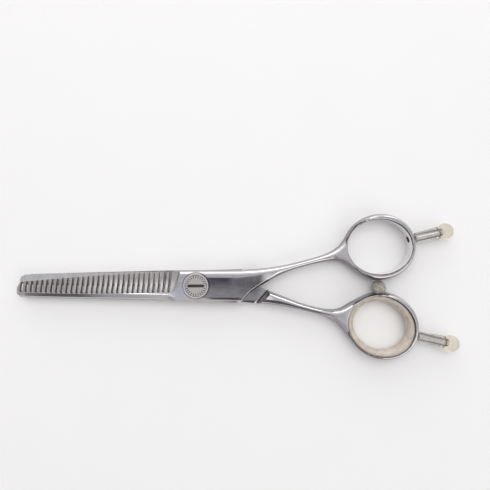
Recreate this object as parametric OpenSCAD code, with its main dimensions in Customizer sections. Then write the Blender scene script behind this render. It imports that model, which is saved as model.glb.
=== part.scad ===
// Thinning shears for hair: a toothed comb blade and a straight cutting blade,
// each forged in one piece with its shank and finger ring, on one tension pivot.
// The shears lie closed on their back. The pivot axis is Z, the finger rings
// point along +X, and z = 0 is the surface that they lie on.

/* [Halves] */
// Height of the finger rings; the two blades part at half of it
ring_height = 6.6; // [6.2:0.1:7.2]
// Thickness of one half at the pivot plate
plate_thickness = 2.4; // [2.2:0.05:2.7]
// Thickness of a shank at its waist
waist_thickness = 4.3; // [3.8:0.1:4.8]
// Thickness of a shank where it opens into the ring
crotch_thickness = 6.0; // [5:0.1:6.4]
// Width of the bevel along the lower edge of the comb half's plate
bevel_width = 1.4; // [1.2:0.1:1.8]
// Share of the plate's thickness that is left at the bevel's outer edge
bevel_land = 0.7; // [0.5:0.05:0.85]
// Running gap between the two halves
blade_gap = 0.05; // [0.03:0.01:0.1]
// Lean of the shoulder wall where a shank gets its full thickness
shoulder_lean = 28; // [10:1:40]
// Radius of the relief groove along the foot of the shoulder wall
relief_r = 0.4; // [0.2:0.05:0.5]
// Width of the small chamfer round the visible part of each lap face
lap_chamfer = 0.35; // [0.2:0.05:0.5]

/* [Comb blade] */
// Pivot axis to the nose of the comb blade
comb_reach = 67.8; // [66.8:0.1:72]
// Thickness of the comb blade's spine near the nose
comb_nose_thickness = 1.75; // [1.4:0.05:2.1]
// Number of slots between the teeth
slot_count = 30; // [24:1:32]
// Width of a slot
slot_width = 1.05; // [0.8:0.05:1.15]
// Pivot axis to the slot nearest to it
first_slot = 10.3; // [10.3:0.1:12]
// Distance from one slot to the next
slot_pitch = 1.92; // [1.7:0.01:1.93]
// Lean of the teeth towards the pivot
tooth_lean = 4.5; // [0:0.5:7]
// Depth of the satin-ground face below the plate at the slot roots
ground_step = 0.03; // [0.02:0.01:0.3]
// Slope of the satin-ground face from roots to tooth tips
ground_slope = 10.6; // [8:0.2:12]

/* [Cutting blade] */
// Pivot axis to the nose of the cutting blade
blade_reach = 67.1; // [66.4:0.1:71]
// Thickness of the cutting blade's spine near the nose
blade_nose_thickness = 1.6; // [1.3:0.05:2]
// Radius of the hollow ground into its inner face
hollow_radius = 25; // [20:1:40]
// Depth of that hollow at the heel
hollow_depth = 0.12; // [0.06:0.01:0.14]

/* [Pivot] */
// Diameter of the tension screw's head
head_d = 9.4; // [8.8:0.1:10]
// Height of the head above the plate
head_height = 1.05; // [0.8:0.05:1.4]
// Width of the raised rim round the head's face
head_rim = 0.6; // [0.3:0.05:0.9]
// Depth of the head's face below its rim
head_face_depth = 0.15; // [0.05:0.05:0.3]
// Length of the coin slot in the head
coin_slot_length = 6.2; // [4:0.1:7]
// Width of the coin slot
coin_slot_width = 1.1; // [0.8:0.1:1.4]
// Depth of the coin slot
coin_slot_depth = 0.4; // [0.2:0.05:0.5]
// Diameter of the shoulder that the comb half turns on
shoulder_d = 5.0; // [4.6:0.1:5.4]
// Diameter of the screw's threaded end
thread_d = 4.0; // [3.6:0.1:4.2]
// Radial running clearance in the pivot
pivot_clearance = 0.03; // [0.02:0.01:0.06]
// Wall of the plastic pivot bushing
bushing_wall = 0.67; // [0.5:0.01:0.8]
// Diameter of the pocket under the head
pocket_d = 8.5; // [8.2:0.1:8.7]
// Depth of the pocket under the head
pocket_depth = 0.78; // [0.7:0.02:0.9]
// Thickness of the flat washer in the pocket
flat_washer_thickness = 0.25; // [0.2:0.01:0.3]
// Thickness of the wave washer's strip
wave_strip = 0.2; // [0.15:0.01:0.25]
// Number of waves round the wave washer
wave_count = 3; // [2:1:4]
// Outer diameter of the thrust washer between the halves
thrust_washer_d = 9.0; // [8:0.1:9.6]
// Thickness of the thrust washer
thrust_washer_thickness = 0.45; // [0.35:0.05:0.55]
// Diameter of the back nut
nut_d = 7.6; // [7:0.1:8.4]
// Width across the back nut's two flats
nut_flats = 6.6; // [6:0.1:6.8]
// Depth of the back nut's seat in the cutting half
nut_seat = 0.9; // [0.6:0.05:1]
// Thickness of the back nut's closed floor
nut_floor = 0.4; // [0.3:0.05:0.6]

/* [Finger rings] */
// Polar angle of the comb half's ring where its shank meets the finger hole
comb_crotch_angle = 188; // [184:1:192]
// Polar angle of the cutting half's ring where its shank meets the finger hole
cutting_crotch_angle = 170; // [166:1:174]
// Share of the ring height that is a straight wall round the finger hole
wall_share = 0.8; // [0.7:0.02:0.88]
// Radius of the edge of the finger hole
hole_edge = 0.5; // [0.3:0.05:0.7]
// Radius of a ring's outer side, seen from its end
ring_round = 1.5; // [1.2:0.05:1.7]
// Radius of a shank's sides where it opens into the ring
crotch_round = 1.9; // [1.6:0.05:2.1]

/* [Ring insert] */
// Radial thickness of the silicone insert
insert_thickness = 2.1; // [1.6:0.1:2.6]
// Thickness that is left at the insert's two rims
insert_rim = 0.5; // [0.3:0.1:0.8]
// Clearance between insert and ring
insert_clearance = 0.05; // [0.04:0.01:0.08]

/* [Bumper] */
// Place of the bumper along the shears
bumper_x = 69.0; // [67:0.1:71]
// Diameter of the bumper
bumper_d = 5.3; // [4.4:0.1:5.8]
// Diameter of the bumper's stem
bumper_stem_d = 2.0; // [1.6:0.1:2.4]
// Distance from the end of the bumper's stem to the finger hole
bumper_stem_end = 0.2; // [0.15:0.05:0.4]
// Depth of the flat that the bumper sits on
bumper_seat = 0.35; // [0.25:0.05:0.5]
// Gap between the bumper and the other ring
bumper_gap = 0.15; // [0.1:0.01:0.3]

/* [Finger rests] */
// Tilt of both rests away from the X direction
rest_tilt = 12.5; // [8:0.5:16]
// Place of the upper rest across the shears, at the ring's finger hole
upper_rest_y = 17.3; // [16:0.1:18]
// Place of the lower rest across the shears, at the ring's finger hole
lower_rest_y = -18.8; // [-20:0.1:-18]
// Ring surface to the centre of the upper rest's ball
upper_rest_reach = 12.0; // [11:0.1:13]
// Ring surface to the centre of the lower rest's ball
lower_rest_reach = 13.2; // [12:0.1:14]
// Diameter of the rest's ball end
rest_ball_d = 6.2; // [5.4:0.1:6.4]
// Diameter of the sleeve at the ring
rest_root_d = 3.6; // [3:0.1:4]
// Diameter of the sleeve at the ball
rest_neck_d = 4.6; // [4.1:0.1:4.8]
// Diameter of the steel pin inside the sleeve
rest_pin_d = 2.0; // [1.8:0.1:2.2]
// Diameter of the pin's thread in the ring
rest_thread_d = 2.4; // [2.3:0.1:2.6]
// Gap between the ring and the sleeve
rest_gap = 0.3; // [0.2:0.05:0.6]
// Depth of the open hole behind the pin, at the finger hole
rest_pin_depth = 0.8; // [0.4:0.1:1]

/* [Hidden] */
$fn = 64;

part_z = ring_height / 2;                  // the two halves part at this height
comb_z = part_z + blade_gap;               // inner face of the comb half
plate_top = part_z + plate_thickness;
plate_back = part_z - plate_thickness;
static_clearance = 0.02;                   // between pieces that stay put
far = 100;                                 // reach of the cutting blocks
past = 1;                                  // how far a cut runs past a surface

// Finger rings as ovals: centre x, centre y, half length, half width, tilt.
comb_ring_outer = [69.25, 14.45, 13.5, 12.5, 12];
comb_ring_hole = [68.6, 14.5, 12.05, 10.25, -2];
cutting_ring_outer = [70.3, -15.3, 13.75, 12.6, -21];
cutting_ring_hole = [69.3, -15.2, 12.6, 10.95, -26];

plate_half = plate_thickness;              // the lap takes the other side away
waist_half = waist_thickness / 2;
crotch_half = crotch_thickness / 2;
comb_nose = comb_nose_thickness;
blade_nose = blade_nose_thickness;

// Cross-sections of each half from the nose to the shoulder, joined by straight
// lines, and from the shoulder to the ring, joined by a smooth curve. Each row:
// upper edge x, y, lower edge x, y, half thickness, upper and lower edge radius,
// and how far the lower edge is a flat bevel (1) instead of a rounding (0).
comb_plate_rows = [
    [-comb_reach, -1.7, -comb_reach, -3.3, 0.7 * comb_nose, 0.4, 0.6, 0],
    [0.5 - comb_reach, -0.2, 0.4 - comb_reach, -4.1, 0.85 * comb_nose, 0.4, 1.4, 0],
    [1.3 - comb_reach, 1.3, 1.3 - comb_reach, -4.6, comb_nose, 0.4, 2.0, 0],
    [-52, 2.5, -52, -4.95, 0.9 * comb_nose + 0.1 * plate_half, 0.4, 2.2, 0],
    [-38, 3.6, -38, -5.25, 0.6 * comb_nose + 0.4 * plate_half, 0.4, 2.2, 0],
    [-24, 4.4, -24, -5.5, 0.3 * comb_nose + 0.7 * plate_half, 0.4, 2.2, 0],
    [-9.3, 5.0, -11, -5.72, plate_half, 0.8, 2.0, 0.5],
    [-5.8, 5.65, -9, -5.75, plate_half, 2.0, bevel_width, 1],
    [14.5, 5.75, 10.5, -6.4, plate_half, 2.2, bevel_width, 1],
    [17.0, 5.8, 17.0, -6.5, plate_half, 2.2, 0.6 * bevel_width, 1]];
comb_shank_rows = [
    [17.0, 5.8, 17.0, -6.5, plate_half, 2.2, 0.6 * bevel_width, 1],
    [19.6, 5.93, 19.4, -3.45, plate_half, 2.2, 0.6 * bevel_width, 1],
    [22.3, 6.1, 22.4, -1.15, plate_half, 2.2, 0.6 * bevel_width, 1],
    [26.5, 6.55, 27.0, 1.45, plate_half, 2.1, 1.2, 0.7],
    [32.6, 7.45, 33.3, 4.6, waist_half + 0.12, 2.0, 2.0, 0],
    [39.1, 8.96, 40.0, 6.85, waist_half, 2.0, 2.0, 0],
    [45.9, 10.85, 46.7, 8.45, waist_half, 2.0, 2.0, 0],
    [50.6, 12.65, 51.3, 9.05, waist_half + 0.3, 2.0, 2.0, 0],
    [54.0, 15.05, 54.9, 8.65, crotch_half, crotch_round, crotch_round, 0]];
comb_flare_knots = [56.4, 18.3, 58.0, 6.5];
comb_join_angles = [150, 222];

cutting_plate_rows = [
    [-blade_reach, 2.3, -blade_reach, 1.3, 0.5 * blade_nose, 0.5, 0.5, 0],
    [0.5 - blade_reach, 3.2, 0.5 - blade_reach, 0.65, 0.75 * blade_nose, 1.0, 1.2, 0],
    [1.8 - blade_reach, 3.9, 1.8 - blade_reach, 0.3, 0.93 * blade_nose, 1.3, 2.0, 0],
    [4.8 - blade_reach, 4.2, 4.8 - blade_reach, 0.1, blade_nose, 1.5, 2.4, 0],
    [-45, 4.7, -45, -0.25, 0.7 * blade_nose + 0.3 * plate_half, 1.7, 2.8, 0],
    [-28, 5.1, -28, -0.35, 0.4 * blade_nose + 0.6 * plate_half, 1.9, 3.0, 0],
    [-11, 5.55, -11.5, -0.35, plate_half, 2.0, 3.0, 0],
    [-7, 5.6, -8, -2.6, plate_half, 2.0, 2.6, 0],
    [-3, 5.65, -3.5, -5.2, plate_half, 1.8, 1.4, 0],
    [4, 5.7, 4, -5.9, plate_half, 1.5, 1.1, 0],
    [17.1, 6.0, 16.6, -6.25, plate_half, 0.6, 1.1, 0]];
cutting_shank_rows = [
    [17.1, 6.0, 16.6, -6.25, plate_half, 0.6, 1.1, 0],
    [19.5, 2.8, 19.6, -6.55, plate_half, 0.6, 1.3, 0],
    [22.4, 0.5, 22.8, -6.9, plate_half, 0.8, 1.6, 0],
    [26.6, -1.85, 27.0, -7.2, plate_half, 1.5, 2.0, 0],
    [33.0, -4.3, 32.5, -8.0, waist_half + 0.12, 2.0, 2.0, 0],
    [39.8, -6.85, 39.2, -9.35, waist_half, 2.0, 2.0, 0],
    [46.6, -8.65, 45.8, -11.0, waist_half, 2.0, 2.0, 0],
    [51.2, -9.15, 50.6, -12.9, waist_half + 0.3, 2.0, 2.0, 0],
    [54.6, -8.55, 54.0, -15.4, crotch_half, crotch_round, crotch_round, 0]];
cutting_flare_knots = [58.2, -6.5, 56.9, -19.0];
cutting_join_angles = [124, 210];

// The open edge of each lap face, from one row to the next one
comb_open_edge = [for (row = [2, 3]) [comb_shank_rows[row][2], comb_shank_rows[row][3]]];
cutting_open_edge = [for (row = [3, 2]) [cutting_shank_rows[row][0], cutting_shank_rows[row][1]]];

// Shoulders: a point on the line where the full thickness begins, and its angle.
cutting_shoulder = [24.65, -4.8, 48];
comb_shoulder = [24.65, 4.8, 132];

// --- Pieces of the pivot -------------------------------------------------
bushing_d = shoulder_d + 2 * pivot_clearance + 2 * bushing_wall;
washer_recess = thrust_washer_thickness - blade_gap + static_clearance;
recess_top = comb_z + washer_recess;
pocket_floor = plate_top - pocket_depth;
head_under = plate_top + pivot_clearance;
wave_height = pocket_depth - flat_washer_thickness + pivot_clearance - 3 * static_clearance;
nut_top = plate_back + nut_seat;

// --- Finger rests and bumper ----------------------------------------------
function oval_edge_x(o, y) =
    let (c = cos(o[4]), s = sin(o[4]), dy = y - o[1],
        p = c * c / pow(o[2], 2) + s * s / pow(o[3], 2),
        q = 2 * dy * c * s * (1 / pow(o[2], 2) - 1 / pow(o[3], 2)),
        r = dy * dy * (s * s / pow(o[2], 2) + c * c / pow(o[3], 2)) - 1)
    o[0] + (-q + sqrt(q * q - 4 * p * r)) / (2 * p);
function oval_edge_y(o, x, side) =
    let (c = cos(o[4]), s = sin(o[4]), dx = x - o[0],
        p = s * s / pow(o[2], 2) + c * c / pow(o[3], 2),
        q = 2 * dx * c * s * (1 / pow(o[2], 2) - 1 / pow(o[3], 2)),
        r = dx * dx * (c * c / pow(o[2], 2) + s * s / pow(o[3], 2)) - 1)
    o[1] + (-q + side * sqrt(q * q - 4 * p * r)) / (2 * p);

upper_rest_x = oval_edge_x(comb_ring_hole, upper_rest_y);
lower_rest_x = oval_edge_x(cutting_ring_hole, lower_rest_y);
upper_band = oval_edge_x(comb_ring_outer, upper_rest_y + 0.4) - upper_rest_x;
lower_band = oval_edge_x(cutting_ring_outer, lower_rest_y - 0.4) - lower_rest_x;
bumper_base_y = oval_edge_y(cutting_ring_outer, bumper_x, 1) - bumper_seat;
bumper_top_y = oval_edge_y(comb_ring_outer, bumper_x, -1) - bumper_gap;
bumper_height = bumper_top_y - bumper_base_y;
bumper_stem = bumper_base_y - oval_edge_y(cutting_ring_hole, bumper_x, 1) - bumper_stem_end;

// --- Curves ------------------------------------------------------------------
function mix(a, b, t) = a + (b - a) * t;

// A smooth curve through the rows of k, from row i to row i + 1
function smooth(k, i, t) =
    let (n = len(k) - 1, a = k[max(i - 1, 0)], b = k[i],
        c = k[min(i + 1, n)], d = k[min(i + 2, n)])
    0.5 * (2 * b + (c - a) * t + (2 * a - 5 * b + 4 * c - d) * t * t
        + (3 * b - a - 3 * c + d) * t * t * t);

// The point of an oval at a polar angle about its centre
function on_oval(o, angle) =
    let (r = o[2] * o[3] / sqrt(pow(o[3] * cos(angle - o[4]), 2)
        + pow(o[2] * sin(angle - o[4]), 2)))
    [o[0] + r * cos(angle), o[1] + r * sin(angle)];

// How far a point lies outside an oval, along the line to its centre
function outside_oval(o, p) =
    let (d = p - [o[0], o[1]])
    norm(d) - norm(on_oval(o, atan2(d[1], d[0])) - [o[0], o[1]]);

// Share of the full thickness at distance d from a rounded edge of radius r
function edge_share(d, r) = d >= r ? 1 : sqrt(max(0, 1 - pow(1 - d / r, 2)));

// The same for a bevelled edge of width r, which keeps a thin upright wall
wall_part = 0.04;
function bevel_share(d, r) =
    d >= r ? 1
    : d <= wall_part * r ? bevel_land * d / (wall_part * r)
    : mix(bevel_land, 1, (d / r - wall_part) / (1 - wall_part));

// --- One forged half ----------------------------------------------------------
shank_steps = 3;
flare_steps = 4;
ring_steps = 34;

// The middle between a row's two edge points
function middle(row) = [row[0] + row[2], row[1] + row[3]] / 2;

// Stations run from the nose along the upper edge, round the ring and back along
// the lower edge. Each is [edge point, inner point, half thickness, edge radius,
// bevel].
function straight_stations(rows, side) =
    [for (r = rows)
        let (edge = side > 0 ? [r[0], r[1]] : [r[2], r[3]])
        [edge, middle(r), r[4], side > 0 ? r[5] : r[6], side > 0 ? 0 : r[7]]];

// The shank's rows, each with its inner point, which ends in the crotch
function shank_table(rows, flare, crotch) =
    let (last = len(rows) - 1)
    concat(
        [for (i = [0:last]) concat(rows[i], i < last ? middle(rows[i]) : crotch)],
        [concat(flare, [crotch_half, crotch_round, crotch_round, 0],
            2 * crotch - middle(rows[last - 1]))]);

function shank_times(last) =
    concat([for (i = [0:last - 1], s = [1:shank_steps])
        if (i < last - 1 || s < shank_steps) [i, s / shank_steps]],
        [[last - 1, 0.9], [last - 1, 1]]);

function curved_stations(rows, flare, crotch, side) =
    let (table = shank_table(rows, flare, crotch))
    [for (step = shank_times(len(rows) - 1))
        let (p = smooth(table, step[0], step[1]))
        [side > 0 ? [p[0], p[1]] : [p[2], p[3]], [p[8], p[9]], p[4],
            side > 0 ? p[5] : p[6], side > 0 ? 0 : p[7]]];

// From the end of the shank to the ring's own oval
function flare_stations(rows, flare, outer, hole, crotch_angle, join, side) =
    let (last = rows[len(rows) - 1], before = rows[len(rows) - 2],
        k = side > 0
            ? [[before[0], before[1]], [last[0], last[1]], [flare[0], flare[1]],
                on_oval(outer, join), on_oval(outer, join - 12)]
            : [[before[2], before[3]], [last[2], last[3]], [flare[2], flare[3]],
                on_oval(outer, join), on_oval(outer, join + 12)])
    [for (i = [1:2], s = [1:flare_steps])
        let (t = (i - 1 + s / flare_steps) / 2)
        [smooth(k, i, s / flare_steps), on_oval(hole, mix(crotch_angle, join, t)),
            mix(crotch_half, part_z, t), mix(crotch_round, ring_round, t), 0]];

function ring_stations(outer, hole, join_up, join_down) =
    [for (i = [1:ring_steps - 1])
        let (angle = mix(join_up, join_down - 360, i / ring_steps))
        [on_oval(outer, angle), on_oval(hole, angle), part_z, ring_round, 0]];

function reversed(list) = [for (i = [len(list) - 1:-1:0]) list[i]];

function stations(plate, shank, flare, outer, hole, crotch_angle, joins) =
    let (crotch = on_oval(hole, crotch_angle))
    concat(
        straight_stations(plate, 1),
        curved_stations(shank, flare, crotch, 1),
        flare_stations(shank, flare, outer, hole, crotch_angle, joins[0], 1),
        ring_stations(outer, hole, joins[0], joins[1]),
        reversed(flare_stations(shank, flare, outer, hole, crotch_angle, joins[1], -1)),
        reversed(curved_stations(shank, flare, crotch, -1)),
        reversed(straight_stations(plate, -1)));

// Across a station, columns crowd towards the rounded edges
outer_columns = [1, 0.62, 0.34, 0.15, wall_part, 0];
function across(st) =
    let (width = norm(st[0] - st[1]), r = min(st[3], 0.98 * width),
        near = min(hole_edge, 0.6 * (width - r)))
    concat([0, 0.35 * near / width, near / width],
        [for (c = outer_columns) 1 - c * r / width]);
columns = 2 + len(outer_columns);

function lift(st, s, hole) =
    let (width = norm(st[0] - st[1]), r = min(st[3], 0.98 * width),
        p = mix(st[1], st[0], s), gap = outside_oval(hole, p))
    st[2] * mix(edge_share((1 - s) * width, r), bevel_share((1 - s) * width, r), st[4])
        * mix(wall_share, 1, edge_share(max(0, gap), hole_edge));

// A closed skin over the stations: top, bottom, hole wall and nose cap
module forging(path, hole, first_ring, last_ring) {
    n = len(path);
    w = columns + 1;
    grid = [for (st = path) let (cols = across(st)) [for (s = cols)
        let (p = mix(st[1], st[0], s)) [p[0], p[1], lift(st, s, hole)]]];
    top = [for (row = grid) for (p = row) [p[0], p[1], part_z + p[2]]];
    bottom = [for (row = grid) for (p = row) [p[0], p[1], part_z - p[2]]];
    low = n * w;
    top_faces = [for (i = [0:n - 2], j = [0:columns - 1])
        let (a = i * w + j, b = a + 1, c = a + w, d = c + 1)
        each [[a, b, d], [a, d, c]]];
    bottom_faces = [for (i = [0:n - 2], j = [0:columns - 1])
        let (a = low + i * w + j, b = a + 1, c = a + w, d = c + 1)
        each [[a, d, b], [a, c, d]]];
    wall_faces = [for (i = [first_ring:last_ring - 1])
        let (a = i * w, b = (i + 1) * w)
        each [[a, b, low + b], [a, low + b, low + a]]];
    cap_faces = [for (side = [0, 1], j = [0:columns - 1])
        let (a = (side == 0 ? 0 : (n - 1) * w) + j, b = a + 1)
        each j == columns - 1
            ? [side == 0 ? [a, low + a, b] : [a, b, low + a]]
            : side == 0 ? [[a, low + b, b], [a, low + a, low + b]]
                : [[a, b, low + b], [a, low + b, low + a]]];
    polyhedron(points = concat(top, bottom),
        faces = concat(top_faces, bottom_faces, wall_faces, cap_faces), convexity = 10);
}

comb_path = stations(comb_plate_rows, comb_shank_rows, comb_flare_knots,
    comb_ring_outer, comb_ring_hole, comb_crotch_angle, comb_join_angles);
cutting_path = stations(cutting_plate_rows, cutting_shank_rows, cutting_flare_knots,
    cutting_ring_outer, cutting_ring_hole, cutting_crotch_angle, cutting_join_angles);

// The hole's wall runs from the crotch round the ring and back to the crotch.
function ring_first(plate, shank) = len(plate) + len(shank_times(len(shank) - 1)) - 1;
comb_ring_first = ring_first(comb_plate_rows, comb_shank_rows);
comb_ring_last = len(comb_path) - 1 - comb_ring_first;
cutting_ring_first = ring_first(cutting_plate_rows, cutting_shank_rows);
cutting_ring_last = len(cutting_path) - 1 - cutting_ring_first;

// Everything beyond the parting plane, up to the leaning shoulder wall
module lap_block(shoulder, z, up) {
    intersection() {
        translate([-far, -far, up > 0 ? z : z - far])
            cube([2 * far, 2 * far, far]);
        translate([shoulder[0], shoulder[1], z])
            rotate([0, 0, shoulder[2]])
            rotate([up * shoulder_lean, 0, 0])
            translate([-2 * far, 0, -2 * far])
            cube([4 * far, 4 * far, 4 * far]);
    }
}

// A round groove along the foot of the shoulder wall, for clean grinding
module relief_groove(shoulder, z) {
    translate([shoulder[0], shoulder[1], z])
        rotate([0, 90, shoulder[2]])
        cylinder(r = relief_r, h = far, center = true, $fn = 32);
}

// A small chamfer on the lap face along a line that has the face on its left
module chamfer(start, end, z, up) {
    tilt = 24;
    reach = 0.9;
    height = 0.5;
    way = end - start;
    translate([start[0], start[1], z])
        rotate([0, 0, atan2(way[1], way[0])])
        translate([0, lap_chamfer, 0])
        rotate([up * tilt, 0, 0])
        translate([0, -reach, up > 0 ? 0 : -height])
        cube([norm(way), reach, height]);
}

// The chamfers of one lap face: beside the relief groove and along the open edge
module lap_chamfers(shoulder, start, end, z, up) {
    along = [cos(shoulder[2]), sin(shoulder[2])];
    foot = [shoulder[0], shoulder[1]] + relief_r * [-along[1], along[0]];
    chamfer(foot - ring_height * along, foot + ring_height * along, z, up);
    chamfer(start, end, z, up);
}

// A round hole or shaft along Z from one height to another
module upright(d, z0, z1) {
    translate([0, 0, z0])
        cylinder(d = d, h = z1 - z0);
}

// Places its children on a finger rest's axis, z = 0 at the finger hole's wall
module at_rest_axis(x, y, side) {
    translate([x, y, part_z])
        rotate([0, 90, side * rest_tilt])
        children();
}

// The hole that a rest's pin is screwed into, right through the ring
module rest_hole(band) {
    translate([0, 0, -2 * past])
        cylinder(d = rest_thread_d + 2 * static_clearance, h = band + 4 * past);
}

module slots() {
    root_sag = 0.6;
    root_y = -2.45;
    last = slot_count - 1;
    for (i = [0:last]) {
        x = -first_slot - slot_pitch * i;
        t = i / last;
        translate([x, root_y - root_sag * 4 * t * (1 - t), part_z - past])
            rotate([0, 0, -tooth_lean]) {
                translate([0, slot_width / 2, 0])
                    cylinder(d = slot_width, h = plate_thickness + 2 * past);
                translate([-slot_width / 2, slot_width / 2, 0])
                    cube([slot_width, 12, plate_thickness + 2 * past]);
            }
    }
}

// The satin face is ground below the plate, with a slanting end at the heel
module ground_face() {
    root_line_y = -2.7;
    heel_x = -8.9;
    heel_turn = 23;
    thinning = atan((plate_thickness - comb_nose_thickness) / (comb_reach - 12));
    intersection() {
        translate([heel_x, root_line_y, plate_top - ground_step])
            rotate([0, -thinning, 0])
            rotate([-ground_slope, 0, 0])
            translate([-far, -past, 0])
            cube([2 * far, 20, 20]);
        translate([heel_x, root_line_y, plate_top])
            rotate([0, 0, -heel_turn])
            rotate([0, 35, 0])
            translate([-2 * far, -far, -far])
            cube([2 * far, 2 * far, 2 * far]);
        translate([-far, root_line_y, 0])
            cube([2 * far, 2 * far, far]);
    }
}

module comb_half() {
    color("silver")
    difference() {
        forging(comb_path, comb_ring_hole, comb_ring_first, comb_ring_last);
        lap_block(comb_shoulder, comb_z, -1);
        relief_groove(comb_shoulder, comb_z);
        lap_chamfers(comb_shoulder, comb_open_edge[0], comb_open_edge[1], comb_z, -1);
        slots();
        ground_face();
        upright(bushing_d + 2 * static_clearance, part_z - past, plate_top + past);
        upright(thrust_washer_d + 4 * static_clearance, part_z - past, recess_top);
        upright(pocket_d, pocket_floor, plate_top + past);
        at_rest_axis(upper_rest_x, upper_rest_y, 1)
            rest_hole(upper_band);
    }
}

// The back nut's outline, with a little to spare all round it
module nut_outline(spare) {
    intersection() {
        circle(d = nut_d + 2 * spare);
        square([nut_flats + 2 * spare, 2 * nut_d], center = true);
    }
}

module cutting_half() {
    hollow_y = 2.6;
    hollow_nose_depth = 0.05;
    seat_margin = 0.6;
    tilt = atan((hollow_depth - hollow_nose_depth) / blade_reach);
    color("silver")
    difference() {
        forging(cutting_path, cutting_ring_hole, cutting_ring_first, cutting_ring_last);
        lap_block(cutting_shoulder, part_z, 1);
        relief_groove(cutting_shoulder, part_z);
        lap_chamfers(cutting_shoulder, cutting_open_edge[0], cutting_open_edge[1], part_z, 1);
        translate([-12, hollow_y, part_z - hollow_depth + hollow_radius])
            rotate([0, -90 + tilt, 0])
            cylinder(r = hollow_radius, h = blade_reach, $fn = 96);
        upright(thread_d + 6 * pivot_clearance, 0, part_z + past);
        translate([0, 0, -past])
            linear_extrude(height = nut_top + static_clearance + past)
            nut_outline(static_clearance);
        at_rest_axis(lower_rest_x, lower_rest_y, -1)
            rest_hole(lower_band);
        translate([bumper_x, bumper_base_y, part_z])
            rotate([-90, 0, 0])
            cylinder(d = bumper_d + 2 * seat_margin, h = 5);
        translate([bumper_x, bumper_base_y + past, part_z])
            rotate([90, 0, 0])
            cylinder(d = bumper_stem_d + 2 * static_clearance, h = past + bumper_stem + static_clearance);
    }
}

module tension_screw() {
    bevel = 0.25;
    head_top = head_under + head_height;
    face = head_top - head_face_depth;
    thread_end = nut_floor + static_clearance;
    r = head_d / 2;
    color("lightgray")
    difference() {
        rotate_extrude()
            polygon([[0, thread_end], [thread_d / 2 - 0.3, thread_end],
                [thread_d / 2, thread_end + 0.3], [thread_d / 2, part_z + pivot_clearance],
                [shoulder_d / 2, part_z + pivot_clearance], [shoulder_d / 2, head_under],
                [r - bevel, head_under], [r, head_under + bevel],
                [r, head_top - bevel], [r - bevel, head_top],
                [r - head_rim, head_top], [r - head_rim - 0.1, face], [0, face]]);
        translate([-coin_slot_length / 2, -coin_slot_width / 2, face - coin_slot_depth])
            cube([coin_slot_length, coin_slot_width, coin_slot_depth + past]);
    }
}

// A thin strip bent into waves, free height equal to the space under the head
module wave_washer() {
    inner = shoulder_d / 2 + 0.15;
    outer = pocket_d / 2 - 0.2;
    base = pocket_floor + flat_washer_thickness + static_clearance;
    swing = (wave_height - wave_strip) / 2;
    steps = 16 * wave_count;
    function rise(i) = base + swing * (1 + cos(360 * i * wave_count / steps));
    function spot(i, r, z) = [r * cos(360 * i / steps), r * sin(360 * i / steps), z];
    points = [for (i = [0:steps - 1]) each [spot(i, inner, rise(i)), spot(i, outer, rise(i)),
        spot(i, outer, rise(i) + wave_strip), spot(i, inner, rise(i) + wave_strip)]];
    faces = [for (i = [0:steps - 1], j = [0:3])
        let (a = 4 * i + j, b = 4 * i + (j + 1) % 4,
            c = (a + 4) % (4 * steps), d = (b + 4) % (4 * steps))
        each [[a, d, b], [a, c, d]]];
    color("slategray")
    polyhedron(points = points, faces = faces, convexity = 6);
}

module flat_washer() {
    color("goldenrod")
    difference() {
        upright(pocket_d - 0.3, pocket_floor, pocket_floor + flat_washer_thickness);
        upright(shoulder_d + 0.2, pocket_floor - past, pocket_floor + past);
    }
}

module pivot_bushing() {
    color("ivory")
    difference() {
        upright(bushing_d, recess_top + static_clearance, pocket_floor - static_clearance);
        upright(shoulder_d + 2 * pivot_clearance, part_z, plate_top);
    }
}

module thrust_washer() {
    color("white")
    difference() {
        upright(thrust_washer_d, part_z, part_z + thrust_washer_thickness);
        upright(shoulder_d + 0.2, part_z - past, part_z + past);
    }
}

module back_nut() {
    bevel = 0.3;
    color("gray")
    difference() {
        intersection() {
            linear_extrude(height = nut_top)
                nut_outline(0);
            rotate_extrude()
                polygon([[0, 0], [nut_d / 2 - bevel, 0], [nut_d / 2 + past, past + bevel],
                    [nut_d / 2 + past, nut_top + past], [0, nut_top + past]]);
        }
        upright(thread_d + 2 * static_clearance, nut_floor, nut_top + past);
    }
}

// Straight towards the ring, domed towards the finger
module ring_insert() {
    o = cutting_ring_hole;
    half = wall_share * part_z - 0.06;
    steps = 44;
    profile = [-1, -0.94, -0.75, -0.4, 0, 0.4, 0.75, 0.94, 1];
    count = len(profile) + 2;
    function depth(k) = insert_rim
        + (insert_thickness - insert_rim) * sqrt(1 - pow(abs(k), 2.4));
    function inward(i, d) =
        let (p = on_oval(o, 360 * i / steps), v = p - [o[0], o[1]])
        p - v / norm(v) * d;
    points = [for (i = [0:steps - 1])
        let (q = inward(i, insert_clearance))
        each concat([[q[0], q[1], part_z + half], [q[0], q[1], part_z - half]],
            [for (k = profile) let (p = inward(i, depth(k))) [p[0], p[1], part_z + k * half]])];
    faces = [for (i = [0:steps - 1], j = [0:count - 1])
        let (a = count * i + j, b = count * i + (j + 1) % count,
            c = (a + count) % (count * steps), d = (b + count) % (count * steps))
        each [[a, b, d], [a, d, c]]];
    color([0.86, 0.80, 0.70])
    polyhedron(points = points, faces = faces, convexity = 6);
}

module bumper() {
    r = bumper_d / 2;
    belly = 0.36 * bumper_height;
    dome = bumper_height - belly;
    color([0.78, 0.76, 0.70])
    translate([bumper_x, bumper_base_y, part_z])
        rotate([-90, 0, 0])
        rotate_extrude()
        polygon(concat(
            [[0, -bumper_stem], [bumper_stem_d / 2, -bumper_stem], [bumper_stem_d / 2, 0],
                [0.86 * r, 0], [0.95 * r, 0.4 * belly]],
            [for (a = [0:15:90]) [r * cos(a), belly + dome * sin(a)]]));
}

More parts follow.
